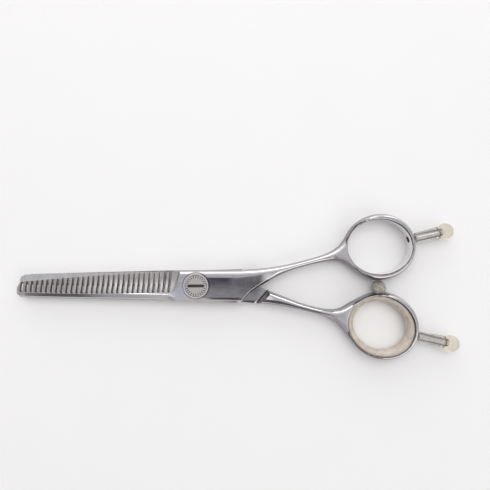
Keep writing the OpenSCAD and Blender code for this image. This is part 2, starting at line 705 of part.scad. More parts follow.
module rest_pin(x, y, side, band, reach) {
    tip = band + reach - 0.6;
    r = rest_pin_d / 2;
    color("gray")
    at_rest_axis(x, y, side)
        rotate_extrude()
        polygon([[0, rest_pin_depth], [rest_thread_d / 2 - 0.2, rest_pin_depth],
            [rest_thread_d / 2, rest_pin_depth + 0.2],
            [rest_thread_d / 2, band + rest_gap - 0.1], [r, band + rest_gap],
            [r, tip - 0.4], [r - 0.15, tip - 0.12], [r - 0.4, tip], [0, tip]]);
}

module rest_sleeve(x, y, side, band, reach) {
    root = band + rest_gap + static_clearance;
    centre = band + reach;
    r = rest_ball_d / 2;
    neck = asin(rest_neck_d / rest_ball_d);
    bore = rest_pin_d / 2 + static_clearance;
    color([0.90, 0.87, 0.76])
    at_rest_axis(x, y, side)
        rotate_extrude()
        polygon(concat(
            [[bore, root], [rest_root_d / 2 - 0.15, root], [rest_root_d / 2, root + 0.2]],
            [for (a = [neck:(180 - neck) / 9:180.01]) [max(0, r * sin(a)), centre - r * cos(a)]],
            [[0, centre - 0.6 + static_clearance], [bore, centre - 0.6 + static_clearance]]));
}

module upper_rest_pin() {
    rest_pin(upper_rest_x, upper_rest_y, 1, upper_band, upper_rest_reach);
}

module upper_rest_sleeve() {
    rest_sleeve(upper_rest_x, upper_rest_y, 1, upper_band, upper_rest_reach);
}

module lower_rest_pin() {
    rest_pin(lower_rest_x, lower_rest_y, -1, lower_band, lower_rest_reach);
}

module lower_rest_sleeve() {
    rest_sleeve(lower_rest_x, lower_rest_y, -1, lower_band, lower_rest_reach);
}

cutting_half();
comb_half();
tension_screw();
wave_washer();
flat_washer();
pivot_bushing();
thrust_washer();
back_nut();
ring_insert();
bumper();
upper_rest_pin();
upper_rest_sleeve();
lower_rest_pin();
lower_rest_sleeve();
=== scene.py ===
# %% [markdown]
# # Thinning shears
#
# Thinning shears cut only part of the hair that goes into them. One blade is a
# plain knife edge and the other is a comb: hair that falls into a slot is spared.
# The frame that is loaded below already holds every piece at its true size and
# place, so this lesson is about form and finish: forged and mirror-polished
# steel, ground satin faces, and three kinds of soft silicone.

# %% Tools and the frame
import bpy, bmesh, math
import numpy as np
from mathutils import Matrix, Vector


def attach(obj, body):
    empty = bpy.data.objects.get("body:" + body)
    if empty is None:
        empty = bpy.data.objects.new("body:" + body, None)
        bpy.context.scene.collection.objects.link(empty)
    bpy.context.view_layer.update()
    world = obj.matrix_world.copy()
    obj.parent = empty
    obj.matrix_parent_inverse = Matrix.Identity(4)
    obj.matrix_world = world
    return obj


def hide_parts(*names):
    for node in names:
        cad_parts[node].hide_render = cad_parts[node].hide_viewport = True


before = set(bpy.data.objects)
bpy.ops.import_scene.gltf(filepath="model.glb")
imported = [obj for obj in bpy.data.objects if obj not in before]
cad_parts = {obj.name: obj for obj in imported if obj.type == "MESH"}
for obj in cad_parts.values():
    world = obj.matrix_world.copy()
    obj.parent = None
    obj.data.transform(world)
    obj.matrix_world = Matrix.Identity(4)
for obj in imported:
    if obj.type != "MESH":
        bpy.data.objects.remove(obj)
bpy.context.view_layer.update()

MM = 0.001
scene = bpy.context.scene

# %% [markdown]
# ## Camera
#
# The shears are seen from straight above and from close by, so the lens is wide
# and the walls of the rings show on the side that is away from the middle. The
# camera comes first, because it settles how fine each surface has to be.

# %% Camera
camera_data = bpy.data.cameras.new("camera")
camera = bpy.data.objects.new("camera", camera_data)
scene.collection.objects.link(camera)
camera.location = (18.3 * MM, 15.2 * MM, 153.3 * MM)
camera_data.angle = math.radians(63.6)
camera_data.clip_start = 0.005
camera_data.clip_end = 20
scene.camera = camera
scene.view_settings.view_transform = "Standard"
print("lens in mm:", round(camera_data.lens, 1))

# %% [markdown]
# ## Sizes shared by the two forged halves
#
# Each half is drop-forged in one piece from a bar of stainless steel, so one
# surface runs from the nose of the blade down the shank and round the finger
# ring. The sizes below are those of the frame. Rows give the upper and the lower
# edge of the outline, half the thickness, how far each edge is rounded, and how
# far the lower edge is a flat bevel (1) instead of a rounding (0).

# %% Sizes and small curves
RING_HEIGHT = 6.6
PLATE = 2.4
PART_Z = RING_HEIGHT / 2
COMB_Z = PART_Z + 0.05
PLATE_TOP = PART_Z + PLATE
WAIST = 2.15
CROTCH = 3.0
COMB_NOSE = 1.75
BLADE_NOSE = 1.6
WALL_SHARE = 0.8
HOLE_EDGE = 0.5
RING_ROUND = 1.5
CROTCH_ROUND = 1.9
BEVEL = 1.4
BEVEL_LAND = 0.7
WALL_PART = 0.04

COMB = {
    "plate": [
        (-67.8, -1.7, -67.8, -3.3, 0.7 * COMB_NOSE, 0.4, 0.6, 0),
        (-67.3, -0.2, -67.4, -4.1, 0.85 * COMB_NOSE, 0.4, 1.4, 0),
        (-66.5, 1.3, -66.5, -4.6, COMB_NOSE, 0.4, 2.0, 0),
        (-52, 2.5, -52, -4.95, 0.9 * COMB_NOSE + 0.1 * PLATE, 0.4, 2.2, 0),
        (-38, 3.6, -38, -5.25, 0.6 * COMB_NOSE + 0.4 * PLATE, 0.4, 2.2, 0),
        (-24, 4.4, -24, -5.5, 0.3 * COMB_NOSE + 0.7 * PLATE, 0.4, 2.2, 0),
        (-9.3, 5.0, -11, -5.72, PLATE, 0.8, 2.0, 0.5),
        (-5.8, 5.65, -9, -5.75, PLATE, 2.0, BEVEL, 1),
        (14.5, 5.75, 10.5, -6.4, PLATE, 2.2, BEVEL, 1),
        (17.0, 5.8, 17.0, -6.5, PLATE, 2.2, 0.6 * BEVEL, 1)],
    "shank": [
        (17.0, 5.8, 17.0, -6.5, PLATE, 2.2, 0.6 * BEVEL, 1),
        (19.6, 5.93, 19.4, -3.45, PLATE, 2.2, 0.6 * BEVEL, 1),
        (22.3, 6.1, 22.4, -1.15, PLATE, 2.2, 0.6 * BEVEL, 1),
        (26.5, 6.55, 27.0, 1.45, PLATE, 2.1, 1.2, 0.7),
        (32.6, 7.45, 33.3, 4.6, WAIST + 0.12, 2.0, 2.0, 0),
        (39.1, 8.96, 40.0, 6.85, WAIST, 2.0, 2.0, 0),
        (45.9, 10.85, 46.7, 8.45, WAIST, 2.0, 2.0, 0),
        (50.6, 12.65, 51.3, 9.05, WAIST + 0.3, 2.0, 2.0, 0),
        (54.0, 15.05, 54.9, 8.65, CROTCH, CROTCH_ROUND, CROTCH_ROUND, 0)],
    "flare": (56.4, 18.3, 58.0, 6.5),
    "joins": (150, 222),
    "crotch": 188,
    "outer": (69.25, 14.45, 13.5, 12.5, 12),
    "hole": (68.6, 14.5, 12.05, 10.25, -2)}

CUTTING = {
    "plate": [
        (-67.1, 2.3, -67.1, 1.3, 0.5 * BLADE_NOSE, 0.5, 0.5, 0),
        (-66.6, 3.2, -66.6, 0.65, 0.75 * BLADE_NOSE, 1.0, 1.2, 0),
        (-65.3, 3.9, -65.3, 0.3, 0.93 * BLADE_NOSE, 1.3, 2.0, 0),
        (-62.3, 4.2, -62.3, 0.1, BLADE_NOSE, 1.5, 2.4, 0),
        (-45, 4.7, -45, -0.25, 0.7 * BLADE_NOSE + 0.3 * PLATE, 1.7, 2.8, 0),
        (-28, 5.1, -28, -0.35, 0.4 * BLADE_NOSE + 0.6 * PLATE, 1.9, 3.0, 0),
        (-11, 5.55, -11.5, -0.35, PLATE, 2.0, 3.0, 0),
        (-7, 5.6, -8, -2.6, PLATE, 2.0, 2.6, 0),
        (-3, 5.65, -3.5, -5.2, PLATE, 1.8, 1.4, 0),
        (4, 5.7, 4, -5.9, PLATE, 1.5, 1.1, 0),
        (17.1, 6.0, 16.6, -6.25, PLATE, 0.6, 1.1, 0)],
    "shank": [
        (17.1, 6.0, 16.6, -6.25, PLATE, 0.6, 1.1, 0),
        (19.5, 2.8, 19.6, -6.55, PLATE, 0.6, 1.3, 0),
        (22.4, 0.5, 22.8, -6.9, PLATE, 0.8, 1.6, 0),
        (26.6, -1.85, 27.0, -7.2, PLATE, 1.5, 2.0, 0),
        (33.0, -4.3, 32.5, -8.0, WAIST + 0.12, 2.0, 2.0, 0),
        (39.8, -6.85, 39.2, -9.35, WAIST, 2.0, 2.0, 0),
        (46.6, -8.65, 45.8, -11.0, WAIST, 2.0, 2.0, 0),
        (51.2, -9.15, 50.6, -12.9, WAIST + 0.3, 2.0, 2.0, 0),
        (54.6, -8.55, 54.0, -15.4, CROTCH, CROTCH_ROUND, CROTCH_ROUND, 0)],
    "flare": (58.2, -6.5, 56.9, -19.0),
    "joins": (124, 210),
    "crotch": 170,
    "outer": (70.3, -15.3, 13.75, 12.6, -21),
    "hole": (69.3, -15.2, 12.6, 10.95, -26)}


def on_oval(oval, angle):
    """The point of an oval at a polar angle about its centre."""
    cx, cy, a, b, tilt = oval
    off_axis = math.radians(angle - tilt)
    r = a * b / math.hypot(b * math.cos(off_axis), a * math.sin(off_axis))
    return np.array([cx + r * math.cos(math.radians(angle)), cy + r * math.sin(math.radians(angle))])


def outside_oval(oval, point):
    """How far a point lies outside an oval, along the line to its centre."""
    centre = np.array(oval[:2])
    d = point - centre
    return np.hypot(*d) - np.hypot(*(on_oval(oval, math.degrees(math.atan2(d[1], d[0]))) - centre))


def mix(a, b, t):
    return a + (b - a) * t


def edge_share(d, r):
    """Share of the full thickness at a distance from a rounded edge."""
    return 1.0 if d >= r else math.sqrt(max(0.0, 1 - (1 - d / r) ** 2))


def bevel_share(d, r):
    """The same at a bevelled edge, which keeps a thin upright wall."""
    if d >= r:
        return 1.0
    if d <= WALL_PART * r:
        return BEVEL_LAND * d / (WALL_PART * r)
    return mix(BEVEL_LAND, 1.0, (d / r - WALL_PART) / (1 - WALL_PART))


def smooth(rows, i, t):
    """A smooth curve through rows, from row i to row i + 1."""
    n = len(rows) - 1
    a, b, c, d = rows[max(i - 1, 0)], rows[i], rows[min(i + 1, n)], rows[min(i + 2, n)]
    return 0.5 * (2 * b + (c - a) * t + (2 * a - 5 * b + 4 * c - d) * t * t
                  + (3 * b - a - 3 * c + d) * t ** 3)


print("comb half rows:", len(COMB["plate"]) + len(COMB["shank"]) - 1)

# %% [markdown]
# ## Skinning a forging
#
# A polished forging has no flat facets, so the skin needs many thin strips where
# it bends. Stations run out along the upper edge, round the ring and back along
# the lower edge. At each one the height falls to zero at the outer edge as a
# quarter of an ellipse does, which makes the rounded flank, and it stops at a
# short straight wall in the finger hole.

# %% Forged skins
PLATE_STEPS = 6
SHANK_STEPS = 12
FLARE_STEPS = 14
RING_STEPS = 120
ROUND_COLUMNS = 12
EDGE_COLUMNS = 5
RIDGE_SOFT = 0.25


def with_middle(row):
    """A row with the middle between its two edges at its end."""
    return np.array((*row, (row[0] + row[2]) / 2, (row[1] + row[3]) / 2))


def shank_rows(half):
    """The rows of the shank with their middles, and one row more that leads into the ring."""
    rows = [with_middle(row) for row in half["shank"]]
    rows[-1][8:10] = on_oval(half["hole"], half["crotch"])
    beyond = 2 * rows[-1][8:10] - rows[-2][8:10]
    return rows + [np.array((*half["flare"], CROTCH, CROTCH_ROUND, CROTCH_ROUND, 0, *beyond))]


def one_side(half, side):
    """Stations from the nose to the ring's own oval on one side: edge, inner end, height, rounding, bevel."""
    pick = slice(0, 2) if side > 0 else slice(2, 4)
    join = half["joins"][0 if side > 0 else 1]
    plate = [with_middle(row) for row in half["plate"]]
    shank = shank_rows(half)
    rows = [mix(a, b, s / PLATE_STEPS) for a, b in zip(plate, plate[1:]) for s in range(PLATE_STEPS)]
    rows += [smooth(shank, i, s / SHANK_STEPS) for i in range(len(shank) - 2) for s in range(SHANK_STEPS)]
    stations = [(r[pick], r[8:10], r[4], *((r[5], 0.0) if side > 0 else (r[6], r[7]))) for r in rows]
    knots = [row[pick] for row in shank[-3:]]
    knots += [on_oval(half["outer"], join), on_oval(half["outer"], join - 12 * side)]
    for i in (1, 2):
        for s in range(FLARE_STEPS):
            t = (i - 1 + s / FLARE_STEPS) / 2
            stations.append((smooth(knots, i, s / FLARE_STEPS),
                             on_oval(half["hole"], mix(half["crotch"], join, t)),
                             mix(CROTCH, PART_Z, t), mix(CROTCH_ROUND, RING_ROUND, t), 0.0))
    return stations


def stations_of(half):
    """All stations of a half, and the number of the first one that has the finger hole's wall."""
    upper, lower = one_side(half, 1), one_side(half, -1)
    up, down = half["joins"]
    ring = []
    for i in range(RING_STEPS + 1):
        angle = mix(up, down - 360, i / RING_STEPS)
        ring.append((on_oval(half["outer"], angle), on_oval(half["hole"], angle), PART_Z, RING_ROUND, 0.0))
    wall_start = (len(half["plate"]) - 1) * PLATE_STEPS + (len(half["shank"]) - 1) * SHANK_STEPS
    return upper + ring + lower[::-1], wall_start


def columns_of(station):
    """Where the points of a station stand, from 0 at its inner end to 1 at its outer edge."""
    edge, inner, _, radius, bevel = station
    width = np.hypot(*(edge - inner))
    r = min(radius, 0.98 * width)
    near = min(HOLE_EDGE, 0.6 * (width - r))
    start = [near / width * (1 - math.cos(math.pi / 2 * k / EDGE_COLUMNS)) for k in range(EDGE_COLUMNS + 1)]
    flat = [mix(near / width, 1 - r / width, k / 4) for k in (1, 2, 3)]
    soft = max((flat[1] + flat[2]) / 2, 1 - r / width * (1 + RIDGE_SOFT))
    flat[2] = mix(flat[2], soft, min(1, 2 * bevel))
    turns = [1 - math.sin(math.pi / 2 * k / ROUND_COLUMNS) for k in range(ROUND_COLUMNS + 1)]
    bevels = [mix(1, WALL_PART, k / (ROUND_COLUMNS - 1)) for k in range(ROUND_COLUMNS)] + [0]
    rounded = [1 - r / width * mix(a, b, min(1, 2 * bevel)) for a, b in zip(turns, bevels)]
    return start + flat + rounded, width, r


def point_grid(half, stations):
    """For each station a row of places and heights above the middle plane."""
    grid = []
    for station in stations:
        edge, inner, height, _, bevel = station
        columns, width, r = columns_of(station)
        row = []
        for s in columns:
            p = mix(inner, edge, s)
            d = (1 - s) * width
            wall = mix(WALL_SHARE, 1, edge_share(max(0.0, outside_oval(half["hole"], p)), HOLE_EDGE))
            row.append((*p, height * mix(edge_share(d, r), bevel_share(d, r), bevel) * wall))
        grid.append(row)
    return grid


def bridge(bm, a, b, closed=False):
    """Faces between two rows of points, or between two loops of them."""
    for i in range(len(a) if closed else len(a) - 1):
        j = (i + 1) % len(a)
        bm.faces.new((a[i], a[j], b[j], b[i]))


def mesh_of(name, bm):
    mesh = bpy.data.meshes.new(name)
    bm.to_mesh(mesh)
    bm.free()
    return mesh


def forging_mesh(name, half):
    """The closed skin of one half: a top and a mirrored bottom, joined at the ends and in the hole."""
    stations, wall_start = stations_of(half)
    grid = point_grid(half, stations)
    bm = bmesh.new()
    top, bottom = ([[bm.verts.new((x * MM, y * MM, (PART_Z + sign * lift) * MM)) for x, y, lift in row]
                    for row in grid] for sign in (1, -1))
    n, w = len(top), len(top[0])
    for i in range(n - 1):
        bridge(bm, top[i], top[i + 1])
        for j in range(w - 1):
            bm.faces.new((bottom[i][j], bottom[i + 1][j], bottom[i + 1][j + 1], bottom[i][j + 1]))
    bridge(bm, *([row[0] for row in side[wall_start:n - wall_start]] for side in (top, bottom)))
    for i in (0, n - 1):
        for j in range(w - 1):
            bm.faces.new((top[i][j], bottom[i][j], bottom[i][j + 1], top[i][j + 1]))
    bmesh.ops.remove_doubles(bm, verts=bm.verts, dist=1e-7)
    bmesh.ops.dissolve_degenerate(bm, dist=1e-8, edges=bm.edges)
    bmesh.ops.recalc_face_normals(bm, faces=bm.faces)
    print(name, len(bm.faces), "faces,", sum(len(e.link_faces) != 2 for e in bm.edges), "open edges")
    return mesh_of(name, bm)


def place(name, mesh):
    piece = bpy.data.objects.new(name, mesh)
    scene.collection.objects.link(piece)
    return piece


comb = place("comb_half_forged", forging_mesh("comb_half_forged", COMB))
cutting = place("cutting_half_forged", forging_mesh("cutting_half_forged", CUTTING))

# %% [markdown]
# ## Finishes
#
# All finishes are built from noise on Object coordinates, so a scratch or a
# grinding mark stays where it is when a piece turns. The first helpers only make
# nodes and links. The others each add one kind of detail, and each finish then
# combines a few of them.

# %% Helpers for nodes and finishes
def feed(node, values):
    """Gives a node its inputs: a socket is linked, any other value is set."""
    for name, value in values.items():
        if isinstance(value, bpy.types.NodeSocket):
            node.id_data.links.new(value, node.inputs[name])
        else:
            node.inputs[name].default_value = value


def add(tree, kind, values, **settings):
    """Adds a node with its settings and its inputs, and gives back its outputs."""
    node = tree.nodes.new(kind)
    for name, value in settings.items():
        setattr(node, name, value)
    feed(node, values)
    return node.outputs


def calc(operation, *values):
    """One step of arithmetic on numbers and sockets; at least one value is a socket."""
    tree = next(value.id_data for value in values if isinstance(value, bpy.types.NodeSocket))
    return add(tree, "ShaderNodeMath", dict(enumerate(values)), operation=operation)[0]


def plus(a, b):
    return calc("ADD", a, b)


def times(a, b):
    return calc("MULTIPLY", a, b)


def coordinate(tree, kind, axis=None):
    """A place or a direction, such as where a point is on the object, or one axis of it."""
    whole = tree.nodes.new("ShaderNodeTexCoord").outputs[kind]
    return whole if axis is None else add(tree, "ShaderNodeSeparateXYZ", {"Vector": whole})[axis]


def stretched_noise(tree, per_mm, detail=2, stretch=(1, 1, 1), turn=0.0):
    """Noise in object space: per_mm spots for each millimetre, stretched along an axis."""
    mapping = add(tree, "ShaderNodeMapping", {"Vector": coordinate(tree, "Object"), "Rotation": (0, 0, turn),
                                              "Scale": [s / MM for s in stretch]})
    return add(tree, "ShaderNodeTexNoise", {"Vector": mapping["Vector"], "Scale": per_mm, "Detail": detail})["Fac"]


def spread(value, low, high, start=0.3, end=0.7, smoothness="LINEAR"):
    """Turns a value that runs from start to end into one that runs from low to high."""
    return add(value.id_data, "ShaderNodeMapRange", {"Value": value, "From Min": start, "From Max": end, "To Min": low,
                                                     "To Max": high}, interpolation_type=smoothness)["Result"]


def zone(tree, axis, stops):
    """1 between the middle two of four stops along an object axis in mm, fading to 0 at the outer ones."""
    along = coordinate(tree, "Object", axis)
    a, b, c, d = [stop * MM for stop in stops]
    return times(spread(along, 0, 1, a, b), spread(along, 1, 0, c, d))


def patch(tree, along, across, up):
    """1 inside a box on the object, from four stops along each axis, fading to 0 at its sides."""
    return times(times(zone(tree, 0, along), zone(tree, 1, across)), zone(tree, 2, up))


def tint(value, dark, light):
    """A colour between two, chosen by a value from 0 to 1; each is a colour or a socket."""
    ends = {name: (*color, 1) if isinstance(color, tuple) else color for name, color in zip("AB", (dark, light))}
    return add(value.id_data, "ShaderNodeMix", {"Factor": value, **ends}, data_type="RGBA")["Result"]


def relief(shader, *heights):
    """Chains bumps: pairs of a height value and its depth in millimetres."""
    normal = {}
    for value, depth in heights:
        bump = add(shader.id_data, "ShaderNodeBump", {"Height": value, "Distance": depth * MM, **normal})
        normal = {"Normal": bump["Normal"]}
    feed(shader, normal)


def finish(name, metallic):
    """A new material with its main shader, ready for detail."""
    material = bpy.data.materials.new(name)
    material.use_nodes = True
    shader = material.node_tree.nodes["Principled BSDF"]
    shader.inputs["Metallic"].default_value = metallic
    return material, material.node_tree, shader


def grained(name, color, metallic, roughness, grain, depth=0, contrast=(0.3, 0.7)):
    """A finish that a single noise shades, roughens and dents.

    Where color or roughness is a pair, the noise moves between the two. Depth is in
    millimetres; contrast is the range of the noise that the colours take up.
    """
    material, tree, shader = finish(name, metallic)
    noise = stretched_noise(tree, *grain)
    if isinstance(color[0], tuple):
        feed(shader, {"Base Color": tint(spread(noise, 0, 1, *contrast), *color)})
    else:
        feed(shader, {"Base Color": (*color, 1)})
    feed(shader, {"Roughness": spread(noise, *roughness) if isinstance(roughness, tuple) else roughness})
    if depth:
        relief(shader, (noise, depth))
    return material


print("finish helpers ready")

# %% [markdown]
# ### Polished and ground steel
#
# A hand-polished forging is never optically flat: the wheel leaves slow waves
# that make straight reflections wander. On top lie hairline scratches from use
# and a faint haze where fingers touch it. Painted shade is laid on as well: the
# steep flanks are darker, most of all on the shanks' near side, and there are a
# dark ring round the screw's head and dark lines near the plates' lower edges.
# The satin faces are ground across the blade on a fine belt, so their scratches
# run one way and spread the light; a bright zone on the comb's teeth is a
# painted highlight.

# %% Steel finishes
STEEL = (0.80, 0.785, 0.80)
SCRATCHED_STEEL = (0.70, 0.68, 0.70)
# The next two colours are painted shade: one for the steep flanks, one for a dark ring and dark lines on the plates.
FLANK_SHADE = (0.29, 0.27, 0.28)
PAINTED_SHADE = (0.10, 0.09, 0.09)

mirror_steel, tree, shader = finish("mirror_polished_steel", 1.0)
haze = stretched_noise(tree, 0.12, 3)
crotch_dull = zone(tree, 0, (48.5, 54, 57.5, 61))
waves = stretched_noise(tree, 0.11, 1, (1, 1.6, 1))
hairlines = stretched_noise(tree, 3.0, 3, (0.12, 1.6, 1), 0.4)
scratched = tint(spread(hairlines, 0, 1, 0.35, 0.6), SCRATCHED_STEEL, STEEL)

# Steep flanks are painted darker, most of all on the shanks' near side: painted shade and painted dark reflection.
near_side = calc("MINIMUM", coordinate(tree, "Normal", 1), 0)
leaning = times(near_side, spread(coordinate(tree, "Object", 0), 0.3, 0.55, 24 * MM, 30 * MM))
flatness = plus(calc("ABSOLUTE", coordinate(tree, "Normal", 2)), leaning)
flank_shaded = tint(spread(flatness, 0, 1, 0.2, 0.7), FLANK_SHADE, scratched)

# Painted shade: a dark ring round the screw's head and two dark lines near the plates' lower edges.
flat_place = add(tree, "ShaderNodeVectorMath", {0: coordinate(tree, "Object"), 1: (1, 1, 0)}, operation="MULTIPLY")
radius = add(tree, "ShaderNodeVectorMath", {0: flat_place["Vector"]}, operation="LENGTH")["Value"]
shade_ring = times(spread(radius, 0, 0.75, 4.4 * MM, 4.7 * MM), spread(radius, 1, 0, 4.9 * MM, 5.3 * MM))
shade_lines = calc("MAXIMUM",
                 patch(tree, (3, 6, 15.5, 17.5), (-5.5, -5.1, -4.7, -4.3), (5.5, 5.6, 5.8, 5.9)),
                 patch(tree, (16, 17.2, 21.5, 22.5), (-7.1, -6.7, -6.1, -5.7), (3.0, 3.1, 3.5, 3.6)))
feed(shader, {"Base Color": tint(calc("MAXIMUM", shade_ring, times(shade_lines, 0.85)), flank_shaded, PAINTED_SHADE),
              "Roughness": plus(spread(haze, 0.05, 0.11), times(crotch_dull, 0.26))})
relief(shader, (waves, 0.022), (hairlines, 0.0002))


def ground_steel(name, darker_tone, lighter_tone, highlight_zone=None):
    """Steel ground across the blade on a belt, in two shades that noise mixes at random.

    If a zone along and across the blade is given, the shade is mostly the darker one, and the
    lighter one is laid on inside the zone as a painted highlight.
    """
    material, tree, shader = finish(name, 1.0)
    grain = stretched_noise(tree, 6.0, 4, (1.0, 0.06, 1), 0.08)
    brightness = spread(stretched_noise(tree, 0.25, 3), 0, 1)
    if highlight_zone:
        bright = times(zone(tree, 0, highlight_zone[0]), zone(tree, 1, highlight_zone[1]))
        brightness = plus(times(brightness, 0.25), times(bright, 0.8))
    feed(shader, {"Base Color": tint(brightness, darker_tone, lighter_tone), "Roughness": spread(grain, 0.26, 0.42)})
    relief(shader, (grain, 0.006))
    return material


# The comb's satin is mostly dark, with a bright zone on its teeth that is a painted highlight.
comb_satin = ground_steel("comb_ground_steel", (0.43, 0.405, 0.385), (0.95, 0.93, 0.91),
                          ((-50, -30, -11, -5), (-3.6, -0.8, 0.2, 2.6)))
edge_satin = ground_steel("hollow_ground_steel", (0.80, 0.79, 0.79), (0.93, 0.92, 0.92))
# The relief groove's near-black finish is painted shade.
groove_shade_steel = grained("groove_painted_shade_steel", ((0.03, 0.028, 0.028), (0.12, 0.11, 0.11)), 0.4, (0.4, 0.65), (2.0, 3))
# The slot walls are dark as painted shade.
shaded_slot_steel = grained("milled_slot_painted_shade", (0.25, 0.235, 0.235), 1.0, (0.3, 0.5), (4.0, 2, (0.3, 0.3, 2.0)), 0.008)
# The rounded and chamfered edges get a lighter steel than the rest as a painted highlight.
edge_highlight_steel = grained("edge_painted_highlight", (0.95, 0.94, 0.95), 1.0, (0.24, 0.4), (1.0,), 0.002)
hole_steel = grained("ring_hole_steel", (0.88, 0.87, 0.88), 1.0, (0.12, 0.24), (1.0, 2, (0.4, 0.4, 3.0)), 0.004)
bored_steel = grained("bored_steel", (0.62, 0.61, 0.62), 1.0, (0.24, 0.4), (3.0, 2, (0.4, 0.4, 4.0)), 0.004)
# A dark brown finish for the end bevel: painted dark reflection.
bevel_reflection_steel = grained("end_bevel_painted_reflection", ((0.12, 0.095, 0.09), (0.25, 0.215, 0.205)), 1.0, (0.18, 0.34),
                      (1.6, 3, (0.3, 1, 1), 0.9))
# A dark line on the finger holes' upper lips: painted shade.
lip_shade_steel = grained("hole_lip_painted_shade", ((0.06, 0.045, 0.045), (0.17, 0.145, 0.145)), 1.0, 0.3, (0.4, 3))
print("steel finishes:", [m.name for m in (mirror_steel, comb_satin, edge_satin, shaded_slot_steel, groove_shade_steel)])

# %% [markdown]
# ## Cutting the forgings to shape
#
# After forging, each half is ground flat where it meets the other, bored for the
# pivot and, on the comb, slotted. The same cuts are made here with closed cutter
# shapes. Each cutter carries a finish, and the boolean hands that finish on to
# the faces that it cuts; the dark finishes of the slots and of the relief groove
# are painted shade.

# %% Cutters and the lap faces
def cutter(name, bm, material):
    """Makes a closed shape in one finish; small pieces are made this way too."""
    bmesh.ops.recalc_face_normals(bm, faces=bm.faces)
    mesh = mesh_of(name, bm)
    mesh.materials.append(material)
    return place(name, mesh)


def prism(name, outline, z0, z1, material):
    """An upright block with the given outline."""
    bm = bmesh.new()
    low, high = ([bm.verts.new((x * MM, y * MM, z * MM)) for x, y in outline] for z in (z0, z1))
    bm.faces.new(low)
    bm.faces.new(high)
    bridge(bm, low, high, closed=True)
    return cutter(name, bm, material)


def rod(r, z0, z1):
    """The profile of a plain round bar."""
    return [(0, z0), (r, z0), (r, z1), (0, z1)]


def wedge(name, planes, material, reach=120.0):
    """A block bounded by planes; each plane is a point and the direction that is kept."""
    bm = bmesh.new()
    bmesh.ops.create_cube(bm, size=2 * reach * MM)
    for point, keep in planes:
        bmesh.ops.bisect_plane(bm, geom=bm.verts[:] + bm.edges[:] + bm.faces[:],
                               plane_co=Vector(point) * MM, plane_no=Vector(keep), clear_inner=True)
        bmesh.ops.holes_fill(bm, edges=[e for e in bm.edges if len(e.link_faces) < 2])
    return cutter(name, bm, material)


def turned(name, profile, material, segments=128, axis=Matrix.Identity(4)):
    """A solid of revolution about an axis, Z if none is given, from pairs of radius and height."""
    bm = bmesh.new()
    verts = [bm.verts.new((r * MM, 0, z * MM)) for r, z in profile]
    edges = [bm.edges.new(pair) for pair in zip(verts, verts[1:])]
    bmesh.ops.spin(bm, geom=verts + edges, cent=(0, 0, 0), axis=(0, 0, 1),
                   angle=2 * math.pi, steps=segments, use_duplicate=False)
    bmesh.ops.remove_doubles(bm, verts=bm.verts, dist=1e-7)
    bmesh.ops.dissolve_degenerate(bm, dist=1e-8, edges=bm.edges)
    piece = cutter(name, bm, material)
    piece.data.transform(axis)
    return piece


def rotated(degrees, axis):
    return Matrix.Rotation(math.radians(degrees), 4, axis)


def at(x, y, z):
    return Matrix.Translation((x * MM, y * MM, z * MM))


def settle(piece, modifier):
    """Makes what a modifier shows the piece's own mesh."""
    bpy.context.view_layer.update()
    mesh = bpy.data.meshes.new_from_object(piece.evaluated_get(bpy.context.evaluated_depsgraph_get()))
    piece.modifiers.remove(modifier)
    old = piece.data
    piece.data = mesh
    bpy.data.meshes.remove(old)
    mesh.name = piece.name
    print(piece.name, "now", len(mesh.polygons), "faces")


def cut(piece, tool):
    """Takes the tool's shape out of the piece and throws the tool away."""
    boolean = piece.modifiers.new("cut", "BOOLEAN")
    boolean.operation = "DIFFERENCE"
    boolean.solver = "EXACT"
    boolean.object = tool
    boolean.material_mode = "TRANSFER"
    settle(piece, boolean)
    bpy.data.meshes.remove(tool.data)


def chamfer(start, end, z, up, inset=0.35, lean=24, width=0.9, depth=0.5):
    """A small chamfer on a lap face, along a line that has the face on its left, in the lighter steel that paints a
    highlight.
    """
    bm = bmesh.new()
    bmesh.ops.create_cube(bm, size=1.0)
    bm.transform(at(*start, z)
                 @ Matrix.Rotation(math.atan2(end[1] - start[1], end[0] - start[0]), 4, "Z")
                 @ at(0, inset, 0) @ rotated(up * lean, "X")
                 @ Matrix.Diagonal((math.dist(start, end) * MM, width * MM, up * depth * MM, 1))
                 @ Matrix.Translation((0.5, -0.5, 0.5)))
    return cutter("chamfer", bm, edge_highlight_steel)


GROOVE = 0.4
SHOULDER_LEAN = math.radians(28)

for piece in (comb, cutting):
    piece.data.materials.append(mirror_steel)
# Each half loses what lies past the parting plane, up to a leaning shoulder with a groove along its foot.
for piece, point, turn, z, up, steel, edge in (
        (comb, (24.65, 4.8), 132, COMB_Z, -1, comb_satin, ((22.4, -1.15), (27.0, 1.45))),
        (cutting, (24.65, -4.8), 48, PART_Z, 1, mirror_steel, ((26.6, -1.85), (22.4, 0.5)))):
    along = np.array((math.cos(math.radians(turn)), math.sin(math.radians(turn))))
    across = np.array((-along[1], along[0]))
    shoulder = (*(across * math.cos(SHOULDER_LEAN)), up * math.sin(SHOULDER_LEAN))
    cut(piece, wedge("lap", [((*point, z), shoulder), ((0, 0, z), (0, 0, up))], steel))
    # The groove is cut with a near-black finish: painted shade.
    cut(piece, turned("relief_groove", rod(GROOVE, -60, 60), groove_shade_steel, 32,
                      at(*point, z) @ rotated(turn, "Z") @ rotated(90, "Y")))
    foot = np.array(point) + GROOVE * across
    cut(piece, chamfer(foot - RING_HEIGHT * along, foot + RING_HEIGHT * along, z, up))
    cut(piece, chamfer(*edge, z, up))

# %% [markdown]
# ### The slots of the comb
#
# Thirty slots stand in a row with an even pitch, so Geometry Nodes place one
# slotting cutter thirty times. The roots follow a shallow arc, which comes from
# the running number of each copy.

